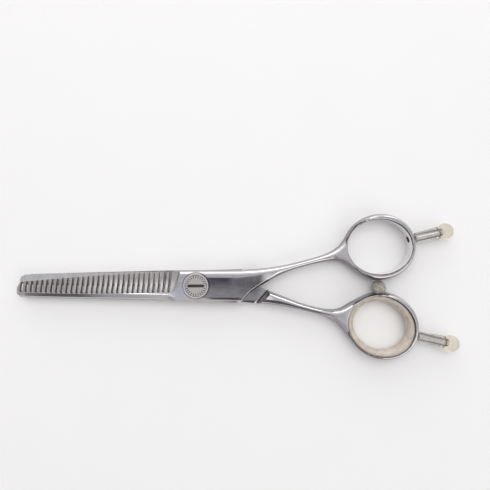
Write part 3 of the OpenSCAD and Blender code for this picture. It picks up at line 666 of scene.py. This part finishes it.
# %% Slot cutters
SLOT_WIDTH = 1.05
SLOT_LENGTH = 12
SLOT_ROW = {"Count": 30, "Pitch": 1.92 * MM, "First": 10.3 * MM, "Root": -2.45 * MM,
            "Sag": 0.6 * MM, "Lean": math.radians(4.5)}


def node_tree(name, sizes):
    """An empty geometry tree with a mesh input and named number inputs."""
    tree = bpy.data.node_groups.new(name, "GeometryNodeTree")
    for way in ("OUTPUT", "INPUT"):
        tree.interface.new_socket("Geometry", in_out=way, socket_type="NodeSocketGeometry")
    for label, size in sizes.items():
        kind = "NodeSocketInt" if isinstance(size, int) else "NodeSocketFloat"
        tree.interface.new_socket(label, in_out="INPUT", socket_type=kind).default_value = size
    return tree, tree.nodes.new("NodeGroupInput").outputs, tree.nodes.new("NodeGroupOutput")


def stand_copies(given, result, points, rotation, material):
    """Stands a copy of the input mesh on each point, as real mesh in one finish."""
    tree = points.id_data
    copies = add(tree, "GeometryNodeInstanceOnPoints",
                 {"Points": points, "Instance": given["Geometry"], "Rotation": rotation})
    real = add(tree, "GeometryNodeRealizeInstances", {"Geometry": copies["Instances"]})
    clad = add(tree, "GeometryNodeSetMaterial", {"Geometry": real["Geometry"], "Material": material})
    feed(result, {"Geometry": clad["Geometry"]})


def grow(piece, tree, sizes):
    """Runs a geometry tree on a piece and keeps the result as a plain mesh."""
    modifier = piece.modifiers.new(tree.name, "NODES")
    modifier.node_group = tree
    for item in tree.interface.items_tree:
        if item.in_out == "INPUT" and item.name in sizes:
            modifier[item.identifier] = sizes[item.name]
    settle(piece, modifier)
    return piece


slot_tree, given, result = node_tree("slot_row", SLOT_ROW)
line = add(slot_tree, "GeometryNodeMeshLine", {"Count": given["Count"]})
number = slot_tree.nodes.new("GeometryNodeInputIndex").outputs[0]
along = calc("DIVIDE", number, calc("SUBTRACT", given["Count"], 1))
arch = times(times(along, calc("SUBTRACT", 1, along)), 4)
spot = add(slot_tree, "ShaderNodeCombineXYZ", {
    "X": calc("SUBTRACT", times(-1, given["First"]), times(number, given["Pitch"])),
    "Y": calc("SUBTRACT", given["Root"], times(arch, given["Sag"]))})
row = add(slot_tree, "GeometryNodeSetPosition", {"Geometry": line["Mesh"], "Position": spot["Vector"]})
turn = add(slot_tree, "ShaderNodeCombineXYZ", {"Z": times(-1, given["Lean"])})
rotation = add(slot_tree, "FunctionNodeEulerToRotation", {"Euler": turn["Vector"]})
stand_copies(given, result, row["Geometry"], rotation["Rotation"], shaded_slot_steel)

root = SLOT_WIDTH / 2
slot_outline = [(-root, SLOT_LENGTH), (root, SLOT_LENGTH)]
slot_outline += [(root * math.cos(t), root - root * math.sin(t)) for t in np.linspace(0, math.pi, 13)]
slot_cutters = grow(prism("slot_cutters", slot_outline, PART_Z - 1, PLATE_TOP + 1, shaded_slot_steel), slot_tree, SLOT_ROW)

# %% [markdown]
# ### Grinding, slotting and boring the comb half
#
# The front of the comb is ground to a satin slope from the slot roots to the
# tips. The order does not change the shape, but slots come last of the blade cuts
# so that their walls end cleanly on the ground face.

# %% Comb half
COMB_REACH = 67.8
TAPER_START = 12
REST_TILT = 12.5
RIGHT, ABOVE, BELOW = (-85, 85), (20, 160), (-160, -20)


def oval_edge(oval, arc, axis, value):
    """Where an oval's arc crosses a line of equal x (axis 0) or equal y (axis 1): the other coordinate."""
    points = np.array([on_oval(oval, a) for a in np.linspace(*arc, 20 * (arc[1] - arc[0]) + 1)])
    points = points[np.argsort(points[:, axis])]
    return float(np.interp(value, points[:, axis], points[:, 1 - axis]))


def rest_place(half, y, side):
    """The axis of a finger rest on a ring's right side, and the width of the band that it crosses."""
    x = oval_edge(half["hole"], RIGHT, 1, y)
    band = oval_edge(half["outer"], RIGHT, 1, y + 0.4 * side) - x
    return at(x, y, PART_Z) @ rotated(side * REST_TILT, "Z") @ rotated(90, "Y"), band


UPPER_REST = rest_place(COMB, 17.3, 1)
LOWER_REST = rest_place(CUTTING, -18.8, -1)

thinning = math.degrees(math.atan((PLATE - COMB_NOSE) / (COMB_REACH - TAPER_START)))
heel = (-8.9, -2.7)
grind = [((*heel, PLATE_TOP - 0.03), rotated(-thinning, "Y") @ rotated(-10.6, "X") @ Vector((0, 0, 1))),
         ((*heel, PLATE_TOP), rotated(-23, "Z") @ rotated(35, "Y") @ Vector((-1, 0, 0))),
         ((0, heel[1], 0), (0, 1, 0))]
cut(comb, wedge("front_grind", grind, comb_satin))
cut(comb, slot_cutters)
bore_profile = [(0, PART_Z - 1), (4.54, PART_Z - 1), (4.54, 3.77), (3.22, 3.77), (3.22, 4.92),
                (4.25, 4.92), (4.25, PLATE_TOP + 1), (0, PLATE_TOP + 1)]
cut(comb, turned("pivot_bore", bore_profile, bored_steel))

# %% [markdown]
# ### Grinding and boring the cutting half
#
# The straight blade has a shallow hollow ground along its inner face, so that
# only its edge touches the teeth. A wheel of large radius makes that hollow.

# %% Cutting half
BLADE_REACH = 67.1
HOLLOW_RADIUS = 25
HOLLOW_DEPTH = 0.12
NUT_R, NUT_FLAT = 3.82, 3.32
BUMPER_X = 69.0

hollow_tilt = math.degrees(math.atan(0.07 / BLADE_REACH))
cut(cutting, turned("hollow_wheel", rod(HOLLOW_RADIUS, 0, BLADE_REACH), edge_satin, 384,
                    at(-12, 2.6, PART_Z - HOLLOW_DEPTH + HOLLOW_RADIUS) @ rotated(-90 + hollow_tilt, "Y")))
cut(cutting, turned("screw_bore", rod(2.09, 1, PART_Z + 1), bored_steel, 96))
circle = [(NUT_R * math.cos(t), NUT_R * math.sin(t)) for t in np.linspace(0, 2 * math.pi, 96, endpoint=False)]
two_flats = [(max(-NUT_FLAT, min(NUT_FLAT, x)), y) for x, y in circle]
cut(cutting, prism("nut_pocket", two_flats, -1, 1.82, bored_steel))
for piece, (axis, band) in ((comb, UPPER_REST), (cutting, LOWER_REST)):
    cut(piece, turned("rest_tap", rod(1.22, -2, band + 2), bored_steel, 48, axis))

bumper_base = oval_edge(CUTTING["outer"], ABOVE, 0, BUMPER_X) - 0.35
bumper_top = oval_edge(COMB["outer"], BELOW, 0, BUMPER_X) - 0.15
BUMPER_AXIS = at(BUMPER_X, bumper_base, PART_Z) @ rotated(-90, "X")
cut(cutting, turned("bumper_seat", rod(3.25, 0, 5), mirror_steel, 64, BUMPER_AXIS))
print("bumper stands from y", round(bumper_base, 2), "to", round(bumper_top, 2))

# %% [markdown]
# ### Finishes laid on the two halves by place
#
# Some finishes follow no cutter. The faces of the bevel across the end of the
# plate that turn towards the near side are painted dark as a painted reflection,
# the ridge above it is rounded and given a lighter steel as a painted highlight,
# and the wall of each finger hole gets its own finish, with a dark line on its
# lip as painted shade.

# %% Bevel, ridge and finger holes
def ridge_line(piece, low, high, width, material):
    """A narrow rounding along a flat's ridge, with its own finish, between two corners of a box."""
    piece.data.materials.append(material)
    bm = bmesh.new()
    bm.from_mesh(piece.data)
    low, high = Vector(low) * MM, Vector(high) * MM
    ridge = [e for e in bm.edges if len(e.link_faces) == 2
             and 30 < math.degrees(e.calc_face_angle()) < 62
             and max(f.normal.z for f in e.link_faces) > 0.98
             and all(a <= c <= b for v in e.verts for a, c, b in zip(low, v.co, high))]
    bmesh.ops.bevel(bm, geom=ridge, offset=width * MM, segments=3, profile=0.5, affect="EDGES",
                    material=len(piece.data.materials) - 1, clamp_overlap=True)
    bm.to_mesh(piece.data)
    bm.free()
    print(material.name, "along", len(ridge), "edges")


def buff_hole(piece, oval):
    """Buffs the wall of a finger hole and paints a dark line on its upper lip as painted shade."""
    wall = len(piece.data.materials)
    piece.data.materials.append(hole_steel)
    piece.data.materials.append(lip_shade_steel)
    for face in piece.data.polygons:
        inward = outside_oval(oval, np.array(face.center[:2]) / MM)
        if abs(face.normal.z) < 0.6 and inward < 0.35:
            face.material_index = wall
        if 0.3 < face.normal.z < 0.84 and inward < 0.8:
            face.material_index = wall + 1


def shade(piece, angle=32):
    """Smooth shading, with a crease at steep angles and where one finish meets another."""
    piece.data.polygons.foreach_set("use_smooth", [True] * len(piece.data.polygons))
    piece.data.set_sharp_from_angle(angle=math.radians(angle))
    bm = bmesh.new()
    bm.from_mesh(piece.data)
    for edge in bm.edges:
        if len({face.material_index for face in edge.link_faces}) > 1:
            edge.smooth = False
    bm.to_mesh(piece.data)
    bm.free()


# Faces of the end bevel that turn towards the near side get a dark finish: a painted dark reflection.
for face in comb.data.polygons:
    (x, y, z), n = face.center / MM, face.normal
    if 16.5 < x < 27.6 and -7 < y < 2.2 and z > 3.4 and n.x > 0.25 and n.y < -0.3 and 0.35 < n.z < 0.8:
        face.material_index = len(comb.data.materials)
comb.data.materials.append(bevel_reflection_steel)
# The ridge is rounded and given the lighter steel as a painted highlight.
ridge_line(comb, (16.6, -7, 5.4), (28, 3, 6), 0.32, edge_highlight_steel)
for piece, half in ((comb, COMB), (cutting, CUTTING)):
    buff_hole(piece, half["hole"])
    shade(piece)

# %% [markdown]
# ## The tension screw
#
# The screw is turned from bar. Its head has a raised rim round a satin face
# with a coin slot, so that the hairdresser can set how tightly the blades meet.
# The rim's top has a lighter steel as a painted highlight, and the slot and a
# thin ring just inside the rim are dark as painted shade. Short dark ticks round
# the face show how far it has been turned.

# %% Tension screw
HEAD_TOP = PLATE_TOP + 0.03 + 1.05
FACE_Z = HEAD_TOP - 0.15

turned_satin, tree, shader = finish("turned_satin_steel", 1.0)
rings = add(tree, "ShaderNodeTexWave", {"Vector": coordinate(tree, "Object"), "Scale": 4.2 / MM, "Distortion": 1.5,
                                        "Detail": 3}, wave_type="RINGS", rings_direction="Z")
speckle = stretched_noise(tree, 5.0, 3)
feed(shader, {"Base Color": (0.82, 0.79, 0.745, 1), "Roughness": spread(speckle, 0.26, 0.42)})
relief(shader, (rings["Fac"], 0.003), (speckle, 0.003))

# One dark finish serves as enamel for the dial ticks and as painted shade in the coin slot and round the rim.
enamel_and_painted_shade = grained("enamel_and_painted_shade", ((0.03, 0.028, 0.03), (0.08, 0.075, 0.075)), 0.0, (0.3, 0.55), (2.5,),
                      contrast=(0.4, 0.7))


def rounded(corners, radius, steps=5):
    """Rounds the inner corners of a profile with small arcs."""
    points = [corners[0]]
    for a, b, c in zip(corners, corners[1:], corners[2:]):
        a, b, c = np.array(a, float), np.array(b, float), np.array(c, float)
        ab, cb = (a - b) / np.linalg.norm(a - b), (c - b) / np.linalg.norm(c - b)
        reach = min(radius, 0.45 * np.linalg.norm(a - b), 0.45 * np.linalg.norm(c - b))
        for k in range(steps + 1):
            t = k / steps
            points.append(tuple((1 - t) ** 2 * (b + ab * reach) + 2 * t * (1 - t) * b + t * t * (b + cb * reach)))
    points.append(corners[-1])
    return points


screw_profile = rounded([(0, 0.42), (2.0, 0.42), (2.0, 3.33), (2.5, 3.33), (2.5, 5.73), (4.7, 5.73),
                         (4.7, HEAD_TOP), (4.1, HEAD_TOP), (4.0, FACE_Z), (0, FACE_Z)], 0.12)
screw = turned("tension_screw_turned", screw_profile, mirror_steel, 160)
for material in (turned_satin, enamel_and_painted_shade, edge_highlight_steel):
    screw.data.materials.append(material)
# A thin ring just inside the rim takes the dark finish as painted shade, and the rim's top the lighter edge steel as a
# painted highlight.
for face in screw.data.polygons:
    radii = [math.hypot(*screw.data.vertices[v].co[:2]) / MM for v in face.vertices]
    if max(radii) < 4.11 and face.center.z / MM > FACE_Z - 0.03:
        face.material_index = 2 if min(radii) > 3.7 else 1
    elif face.normal.z > 0.8 and face.center.z / MM > FACE_Z:
        face.material_index = 3


def bar_tool(name, x, y, z0, z1, material):
    """A bar with round ends lying along X."""
    r = y / 2
    outline = [(x / 2 - r + r * math.sin(t), -r * math.cos(t)) for t in np.linspace(0, math.pi, 9)]
    return prism(name, outline + [(-px, -py) for px, py in outline], z0, z1, material)


# The coin slot's walls and floor are dark as painted shade.
cut(screw, bar_tool("coin_slot", 6.2, 1.1, FACE_Z - 0.4, FACE_Z + 1, enamel_and_painted_shade))
shade(screw, 40)

# %% [markdown]
# The ticks are one small bar repeated round a circle. A Mesh Circle gives the
# points and the direction of each one, so the whole dial changes with one number.

# %% Dial ticks
DIAL = {"Count": 24, "Radius": 3.3 * MM}
tick_tree, given, result = node_tree("dial_ticks", DIAL)
circle = add(tick_tree, "GeometryNodeMeshCircle", {"Vertices": given["Count"], "Radius": given["Radius"]})
outward = tick_tree.nodes.new("GeometryNodeInputPosition").outputs[0]
face_out = add(tick_tree, "FunctionNodeAlignRotationToVector", {"Vector": outward}, axis="X")
stand_copies(given, result, circle["Mesh"], face_out["Rotation"], enamel_and_painted_shade)
ticks = grow(bar_tool("dial_ticks", 0.9, 0.26, FACE_Z - 0.02, FACE_Z + 0.015, enamel_and_painted_shade), tick_tree, DIAL)

# %% [markdown]
# ## Silicone pieces
#
# The finger insert is pale, slightly yellowed silicone: light enters it, scatters
# and comes out softened. The bumper is greyer. The sleeves of the finger rests are
# clear, so the steel pin shows through them, enlarged by the round outside; only
# the ball at the end has yellowed.

# %% Silicone finishes and the pins
insert_silicone = grained("finger_insert_silicone", ((0.56, 0.49, 0.41), (0.72, 0.66, 0.57)), 0.0, 0.38, (0.5, 3))
bumper_silicone = grained("bumper_silicone", ((0.30, 0.28, 0.24), (0.58, 0.55, 0.49)), 0.0, 0.35, (1.1, 4),
                          contrast=(0.38, 0.62))
for material, weight, radii, depth, clear, lumps, height in (
        (insert_silicone, 0.6, (1.2, 1.0, 0.7), 1.2, 0.12, 1.5, 0.02),
        (bumper_silicone, 0.4, (1.0, 0.9, 0.7), 1.0, 0.2, 1.2, 0.03)):
    shader = material.node_tree.nodes["Principled BSDF"]
    feed(shader, {"Subsurface Weight": weight, "Subsurface Radius": radii, "Subsurface Scale": depth * MM,
                  "Transmission Weight": clear})
    relief(shader, (stretched_noise(material.node_tree, lumps, 3), height))

clear_silicone, tree, shader = finish("clear_silicone", 0.0)
cloud = stretched_noise(tree, 0.6)
clouded = tint(spread(cloud, 0, 1), (0.84, 0.81, 0.78), (0.93, 0.91, 0.89))
yellowed = tint(spread(cloud, 0, 1), (0.90, 0.84, 0.71), (0.97, 0.94, 0.87))
ball_end = spread(coordinate(tree, "Object", 0), 0, 1, 90.5 * MM, 93.5 * MM)
feed(shader, {"Base Color": tint(ball_end, clouded, yellowed), "Roughness": spread(cloud, 0.03, 0.09),
              "Transmission Weight": 0.9, "IOR": 1.41})
relief(shader, (stretched_noise(tree, 0.9, 1), 0.05), (stretched_noise(tree, 1.6, 2, (0.25, 1, 1)), 0.03))

pin_steel, tree, shader = finish("drawn_pin_steel", 1.0)
drawn = stretched_noise(tree, 4.0, 2, (0.05, 1.0, 1.0))
near_tip = spread(coordinate(tree, "Object", 0), 0, 1, 86 * MM, 88.5 * MM)
# The pin's steep sides are painted dark, a little more near its tip, so that only a middle stripe stays light: painted
# shade and painted dark reflection.
flatness = plus(calc("ABSOLUTE", coordinate(tree, "Normal", 2)), times(near_tip, -0.14))
feed(shader, {"Base Color": tint(spread(flatness, 0, 1, 0.45, 0.75), (0.15, 0.13, 0.135), (0.62, 0.60, 0.59)),
              "Roughness": spread(drawn, 0.06, 0.14)})
relief(shader, (drawn, 0.003))
print("silicone finishes ready")

# %% [markdown]
# The insert follows the oval of the finger hole. Its section is straight towards
# the steel and domed towards the finger, so the skin is a closed loop of sections.
# The bumper, the pins and the sleeves are turned about their own axes.

# %% Insert, bumper and finger rests
def insert_mesh(count=180):
    """The ring that lies in the lower finger hole."""
    bm = bmesh.new()
    half = WALL_SHARE * PART_Z - 0.06
    section = [(0.05, 1.0), (0.05, -1.0)]
    for a in np.linspace(-math.pi / 2, math.pi / 2, 25):
        k = math.sin(a)
        section.append((0.5 + 1.6 * math.sqrt(max(0.0, 1 - abs(k) ** 2.4)), k))
    loops = []
    for i in range(count):
        p = on_oval(CUTTING["hole"], 360 * i / count)
        v = p - np.array(CUTTING["hole"][:2])
        v = v / np.hypot(*v)
        loops.append([bm.verts.new((*((p - v * d) * MM), (PART_Z + k * half) * MM)) for d, k in section])
    for a, b in zip(loops, loops[1:] + loops[:1]):
        bridge(bm, a, b, closed=True)
    return cutter("finger_insert", bm, insert_silicone)


insert = insert_mesh()
height = bumper_top - bumper_base
belly = 0.36 * height
dome = [(2.65 * math.cos(a), belly + (height - belly) * math.sin(a)) for a in np.linspace(0, math.pi / 2, 17)]
dome[-1] = (0, height)
bumper_profile = [(0, -1.0), (0.98, -1.0), (0.98, 0), (2.28, 0), (2.42, 0.12), (2.52, 0.4 * belly)] + dome
bumper = turned("ring_bumper", bumper_profile, bumper_silicone, 72, BUMPER_AXIS)
for piece in (insert, bumper):
    shade(piece, 50)

BALL = 3.1
NECK = 1.8
TIP_BACK = 0.6


def rest_sleeve(name, axis, band, reach):
    """A sleeve that is closed at its ball end; reach is how far the ball stands off the ring."""
    centre, tip, root = band + reach, band + reach - TIP_BACK, band + 0.32
    ball = [(BALL * math.sin(a), centre - BALL * math.cos(a))
            for a in np.linspace(math.asin(4.6 / (2 * BALL)), math.pi, 28)]
    ball[-1] = (0, ball[-1][1])
    flare = [(mix(NECK, ball[0][0], t), mix(root + 0.2, ball[0][1], t)) for t in np.linspace(0.1, 0.9, 9)]
    inside = [(0, tip - 0.02), (0.5, tip - 0.02), (0.97, tip - 0.35), (0.97, root), (1.65, root), (NECK, root + 0.2)]
    return turned(name + "_sleeve_moulded", inside + flare + ball, clear_silicone, 72, axis)


def rest_pin(name, axis, band, reach):
    """The steel pin inside a sleeve."""
    tip = band + reach - TIP_BACK
    profile = rounded([(0, 0.8), (1.2, 0.8), (1.2, band + 0.25), (1.0, band + 0.3),
                       (1.0, tip - 0.3), (0.6, tip), (0, tip)], 0.12)
    return turned(name + "_pin_turned", profile, pin_steel, 64, axis)


upper_pin, upper_sleeve = (make("upper_rest", *UPPER_REST, 12.0) for make in (rest_pin, rest_sleeve))
lower_pin, lower_sleeve = (make("lower_rest", *LOWER_REST, 13.2) for make in (rest_pin, rest_sleeve))
for piece in (upper_pin, upper_sleeve, lower_pin, lower_sleeve):
    shade(piece, 40)
print("rests reach x", round(max(v.co.x for v in lower_sleeve.data.vertices) / MM, 1))

# %% [markdown]
# ## Pieces that stay as they are
#
# The washers, the bushing and the back nut sit inside the pivot or under it. Their
# solids are already right, so they only get a finish that suits their stuff.

# %% Finishes of the hidden pieces
AS_IT_IS = (0, 1)
hidden = {
    "flat_washer": grained("washer_bronze", ((0.60, 0.38, 0.18), (0.78, 0.56, 0.30)), 1.0, (0.22, 0.45), (1.2, 3),
                           contrast=AS_IT_IS),
    "wave_washer": grained("spring_steel", (0.45, 0.46, 0.50), 1.0, (0.2, 0.4), (1.5, 3)),
    "back_nut": grained("nut_steel", (0.66, 0.65, 0.66), 1.0, (0.18, 0.36), (2.0, 3, (1, 0.1, 1)), 0.003),
    "thrust_washer": grained("white_plastic", ((0.80, 0.79, 0.75), (0.90, 0.89, 0.86)), 0.0, 0.45, (2.0,),
                             contrast=AS_IT_IS),
    "pivot_bushing": grained("bushing_nylon", ((0.76, 0.72, 0.60), (0.87, 0.85, 0.77)), 0.0, 0.42, (1.4,),
                             contrast=AS_IT_IS)}
for node, material in hidden.items():
    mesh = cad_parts[node].data
    mesh.materials.clear()
    mesh.materials.append(material)
print("finished as they are:", ", ".join(hidden))

# %% [markdown]
# ## Each piece rides on its half
#
# When the shears open, the comb half turns about the screw and takes its rest
# along. The insert and the bumper stay with the cutting half.

# %% Bodies
riders = (
    (comb, "comb_body", ["comb_half"], "polished_steel"),
    (cutting, "cutting_body", ["cutting_half"], "polished_steel"),
    (screw, "screw_body", ["tension_screw"], "satin_steel"),
    (ticks, "screw_body", [], "satin_steel"),
    (insert, "cutting_body", ["ring_insert"], "insert_silicone"),
    (bumper, "cutting_body", ["bumper"], "bumper_silicone"),
    (upper_pin, "comb_body", ["upper_rest_pin"], "pin_steel"),
    (upper_sleeve, "comb_body", ["upper_rest_sleeve"], "clear_silicone"),
    (lower_pin, "cutting_body", ["lower_rest_pin"], "pin_steel"),
    (lower_sleeve, "cutting_body", ["lower_rest_sleeve"], "clear_silicone"))
for piece, body, nodes, slot in riders:
    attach(piece, body)
    if nodes:
        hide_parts(*nodes)
print("pieces on bodies:", len(riders))

# %% [markdown]
# ## Table and lamp
#
# A soft lamp stands behind the top edge and throws short shadows towards the
# reader. The table is plain pale paper.

# %% Table and lamp
paper = grained("table_white", ((0.94, 0.94, 0.935), (0.96, 0.96, 0.955)), 0.0, 0.6, (0.05, 3), contrast=AS_IT_IS)
bm = bmesh.new()
bmesh.ops.create_grid(bm, x_segments=1, y_segments=1, size=1.5)
table = place("table", mesh_of("table", bm))
table.data.materials.append(paper)
table.location = (0, 0, -0.02 * MM)

lamp_data = bpy.data.lights.new("soft_lamp", "AREA")
lamp_data.shape = "RECTANGLE"
lamp_data.size, lamp_data.size_y = 1.1, 0.60
lamp_data.energy = 3.12
lamp_data.color = (1.0, 0.99, 0.98)
lamp = bpy.data.objects.new("soft_lamp", lamp_data)
lamp.location = (0.04, 0.32, 0.74)
lamp.rotation_euler = (Vector((0.01, 0, 0)) - lamp.location).to_track_quat("-Z", "Y").to_euler()
lamp.visible_glossy = False
scene.collection.objects.link(lamp)
print("lamp at", round(lamp.location.length, 2), "m")

# %% [markdown]
# ## Surroundings
#
# Polished steel shows its surroundings, so these matter more than the steel's own
# colour. The room is pale above and behind, and dark where someone leans over the
# table. It is built up in layers, each one laid over those before it. A card is a
# soft-edged rectangle on the ceiling, and the narrow dark ones draw the lines that
# are seen along rounded steel. The eye itself only meets an even pale background.

# %% Surroundings
world = bpy.data.worlds.new("room")
scene.world = world
world.use_nodes = True
room = world.node_tree
x_way, y_way, z_way = (coordinate(room, "Generated", axis) for axis in range(3))
steep = calc("MAXIMUM", z_way, 0.05)
u = calc("DIVIDE", x_way, steep)
v = calc("DIVIDE", y_way, steep)


def ramp(value, start, end):
    """0 before start, 1 past end, smooth between."""
    return spread(value, 0, 1, start, end, "SMOOTHSTEP")


def card(u0, u1, v0, v1, soft):
    """A soft-edged rectangle on the ceiling, in slopes seen from the shears."""
    return times(times(ramp(u, u0 - soft, u0 + soft), ramp(u, u1 + soft, u1 - soft)),
                 times(ramp(v, v0 - soft, v0 + soft), ramp(v, v1 + soft, v1 - soft)))


front = ramp(y_way, -0.16, -0.30)
windows = times(times(ramp(z_way, 0.56, 0.42), ramp(y_way, 0.66, 0.76)),
                plus(ramp(x_way, 0.22, 0.12), ramp(x_way, 0.33, 0.38)))
front_window = times(times(ramp(y_way, -0.17, -0.28), ramp(x_way, 0.14, 0.20)), ramp(z_way, 0.25, 0.45))
sleeve_edge = times(front, times(ramp(x_way, -0.345, -0.42), ramp(x_way, -0.52, -0.47)))
sky = (0.50, 0.49, 0.51)
for cover, color in (
        (ramp(y_way, 0.30, 0.60), (0.74, 0.74, 0.75)),
        (windows, (2.2, 2.2, 2.2)),
        (front, (0.58, 0.55, 0.54)),
        (times(front, ramp(x_way, -0.22, -0.34)), (0.40, 0.385, 0.41)),
        (times(front, ramp(x_way, -0.09, -0.05)), (0.10, 0.09, 0.10)),
        (front_window, (1.2, 1.18, 1.18)),
        (sleeve_edge, (0.12, 0.11, 0.12)),
        (card(-0.62, -0.42, -0.26, -0.13, 0.02), (0.68, 0.67, 0.68)),
        (card(-0.40, -0.13, -0.26, -0.10, 0.02), (0.50, 0.53, 0.60)),
        (card(-0.13, 0.058, -0.26, -0.10, 0.012), (0.28, 0.27, 0.29)),
        (card(0.062, 0.115, -0.18, -0.07, 0.010), (1.0, 0.99, 1.0)),
        (card(-0.64, -0.181, -0.112, -0.062, 0.010), (0.06, 0.06, 0.075)),
        (card(-0.115, 0.03, -0.104, -0.066, 0.010), (0.04, 0.04, 0.055)),
        (card(-0.016, 0.040, -0.114, -0.062, 0.008), (0.025, 0.025, 0.03)),
        (card(-0.48, -0.24, 0.16, 0.38, 0.05), (1.5, 1.48, 1.45)),
        (ramp(x_way, 0.80, 0.95), (0.16, 0.14, 0.15)),
        (card(-0.33, -0.185, -0.176, -0.134, 0.010), (2.6, 2.56, 2.6))):
    sky = tint(cover, sky, color)

seen_by = room.nodes.new("ShaderNodeLightPath").outputs
straight = calc("MAXIMUM", seen_by["Is Camera Ray"], seen_by["Is Transmission Ray"])
mirrored = times(seen_by["Is Glossy Ray"], ramp(z_way, 0.16, 0.06))
sky = tint(calc("MAXIMUM", straight, mirrored), sky, (0.86, 0.86, 0.86))
feed(room.nodes["Background"], {"Color": sky})
print("surroundings:", len(room.nodes), "nodes")
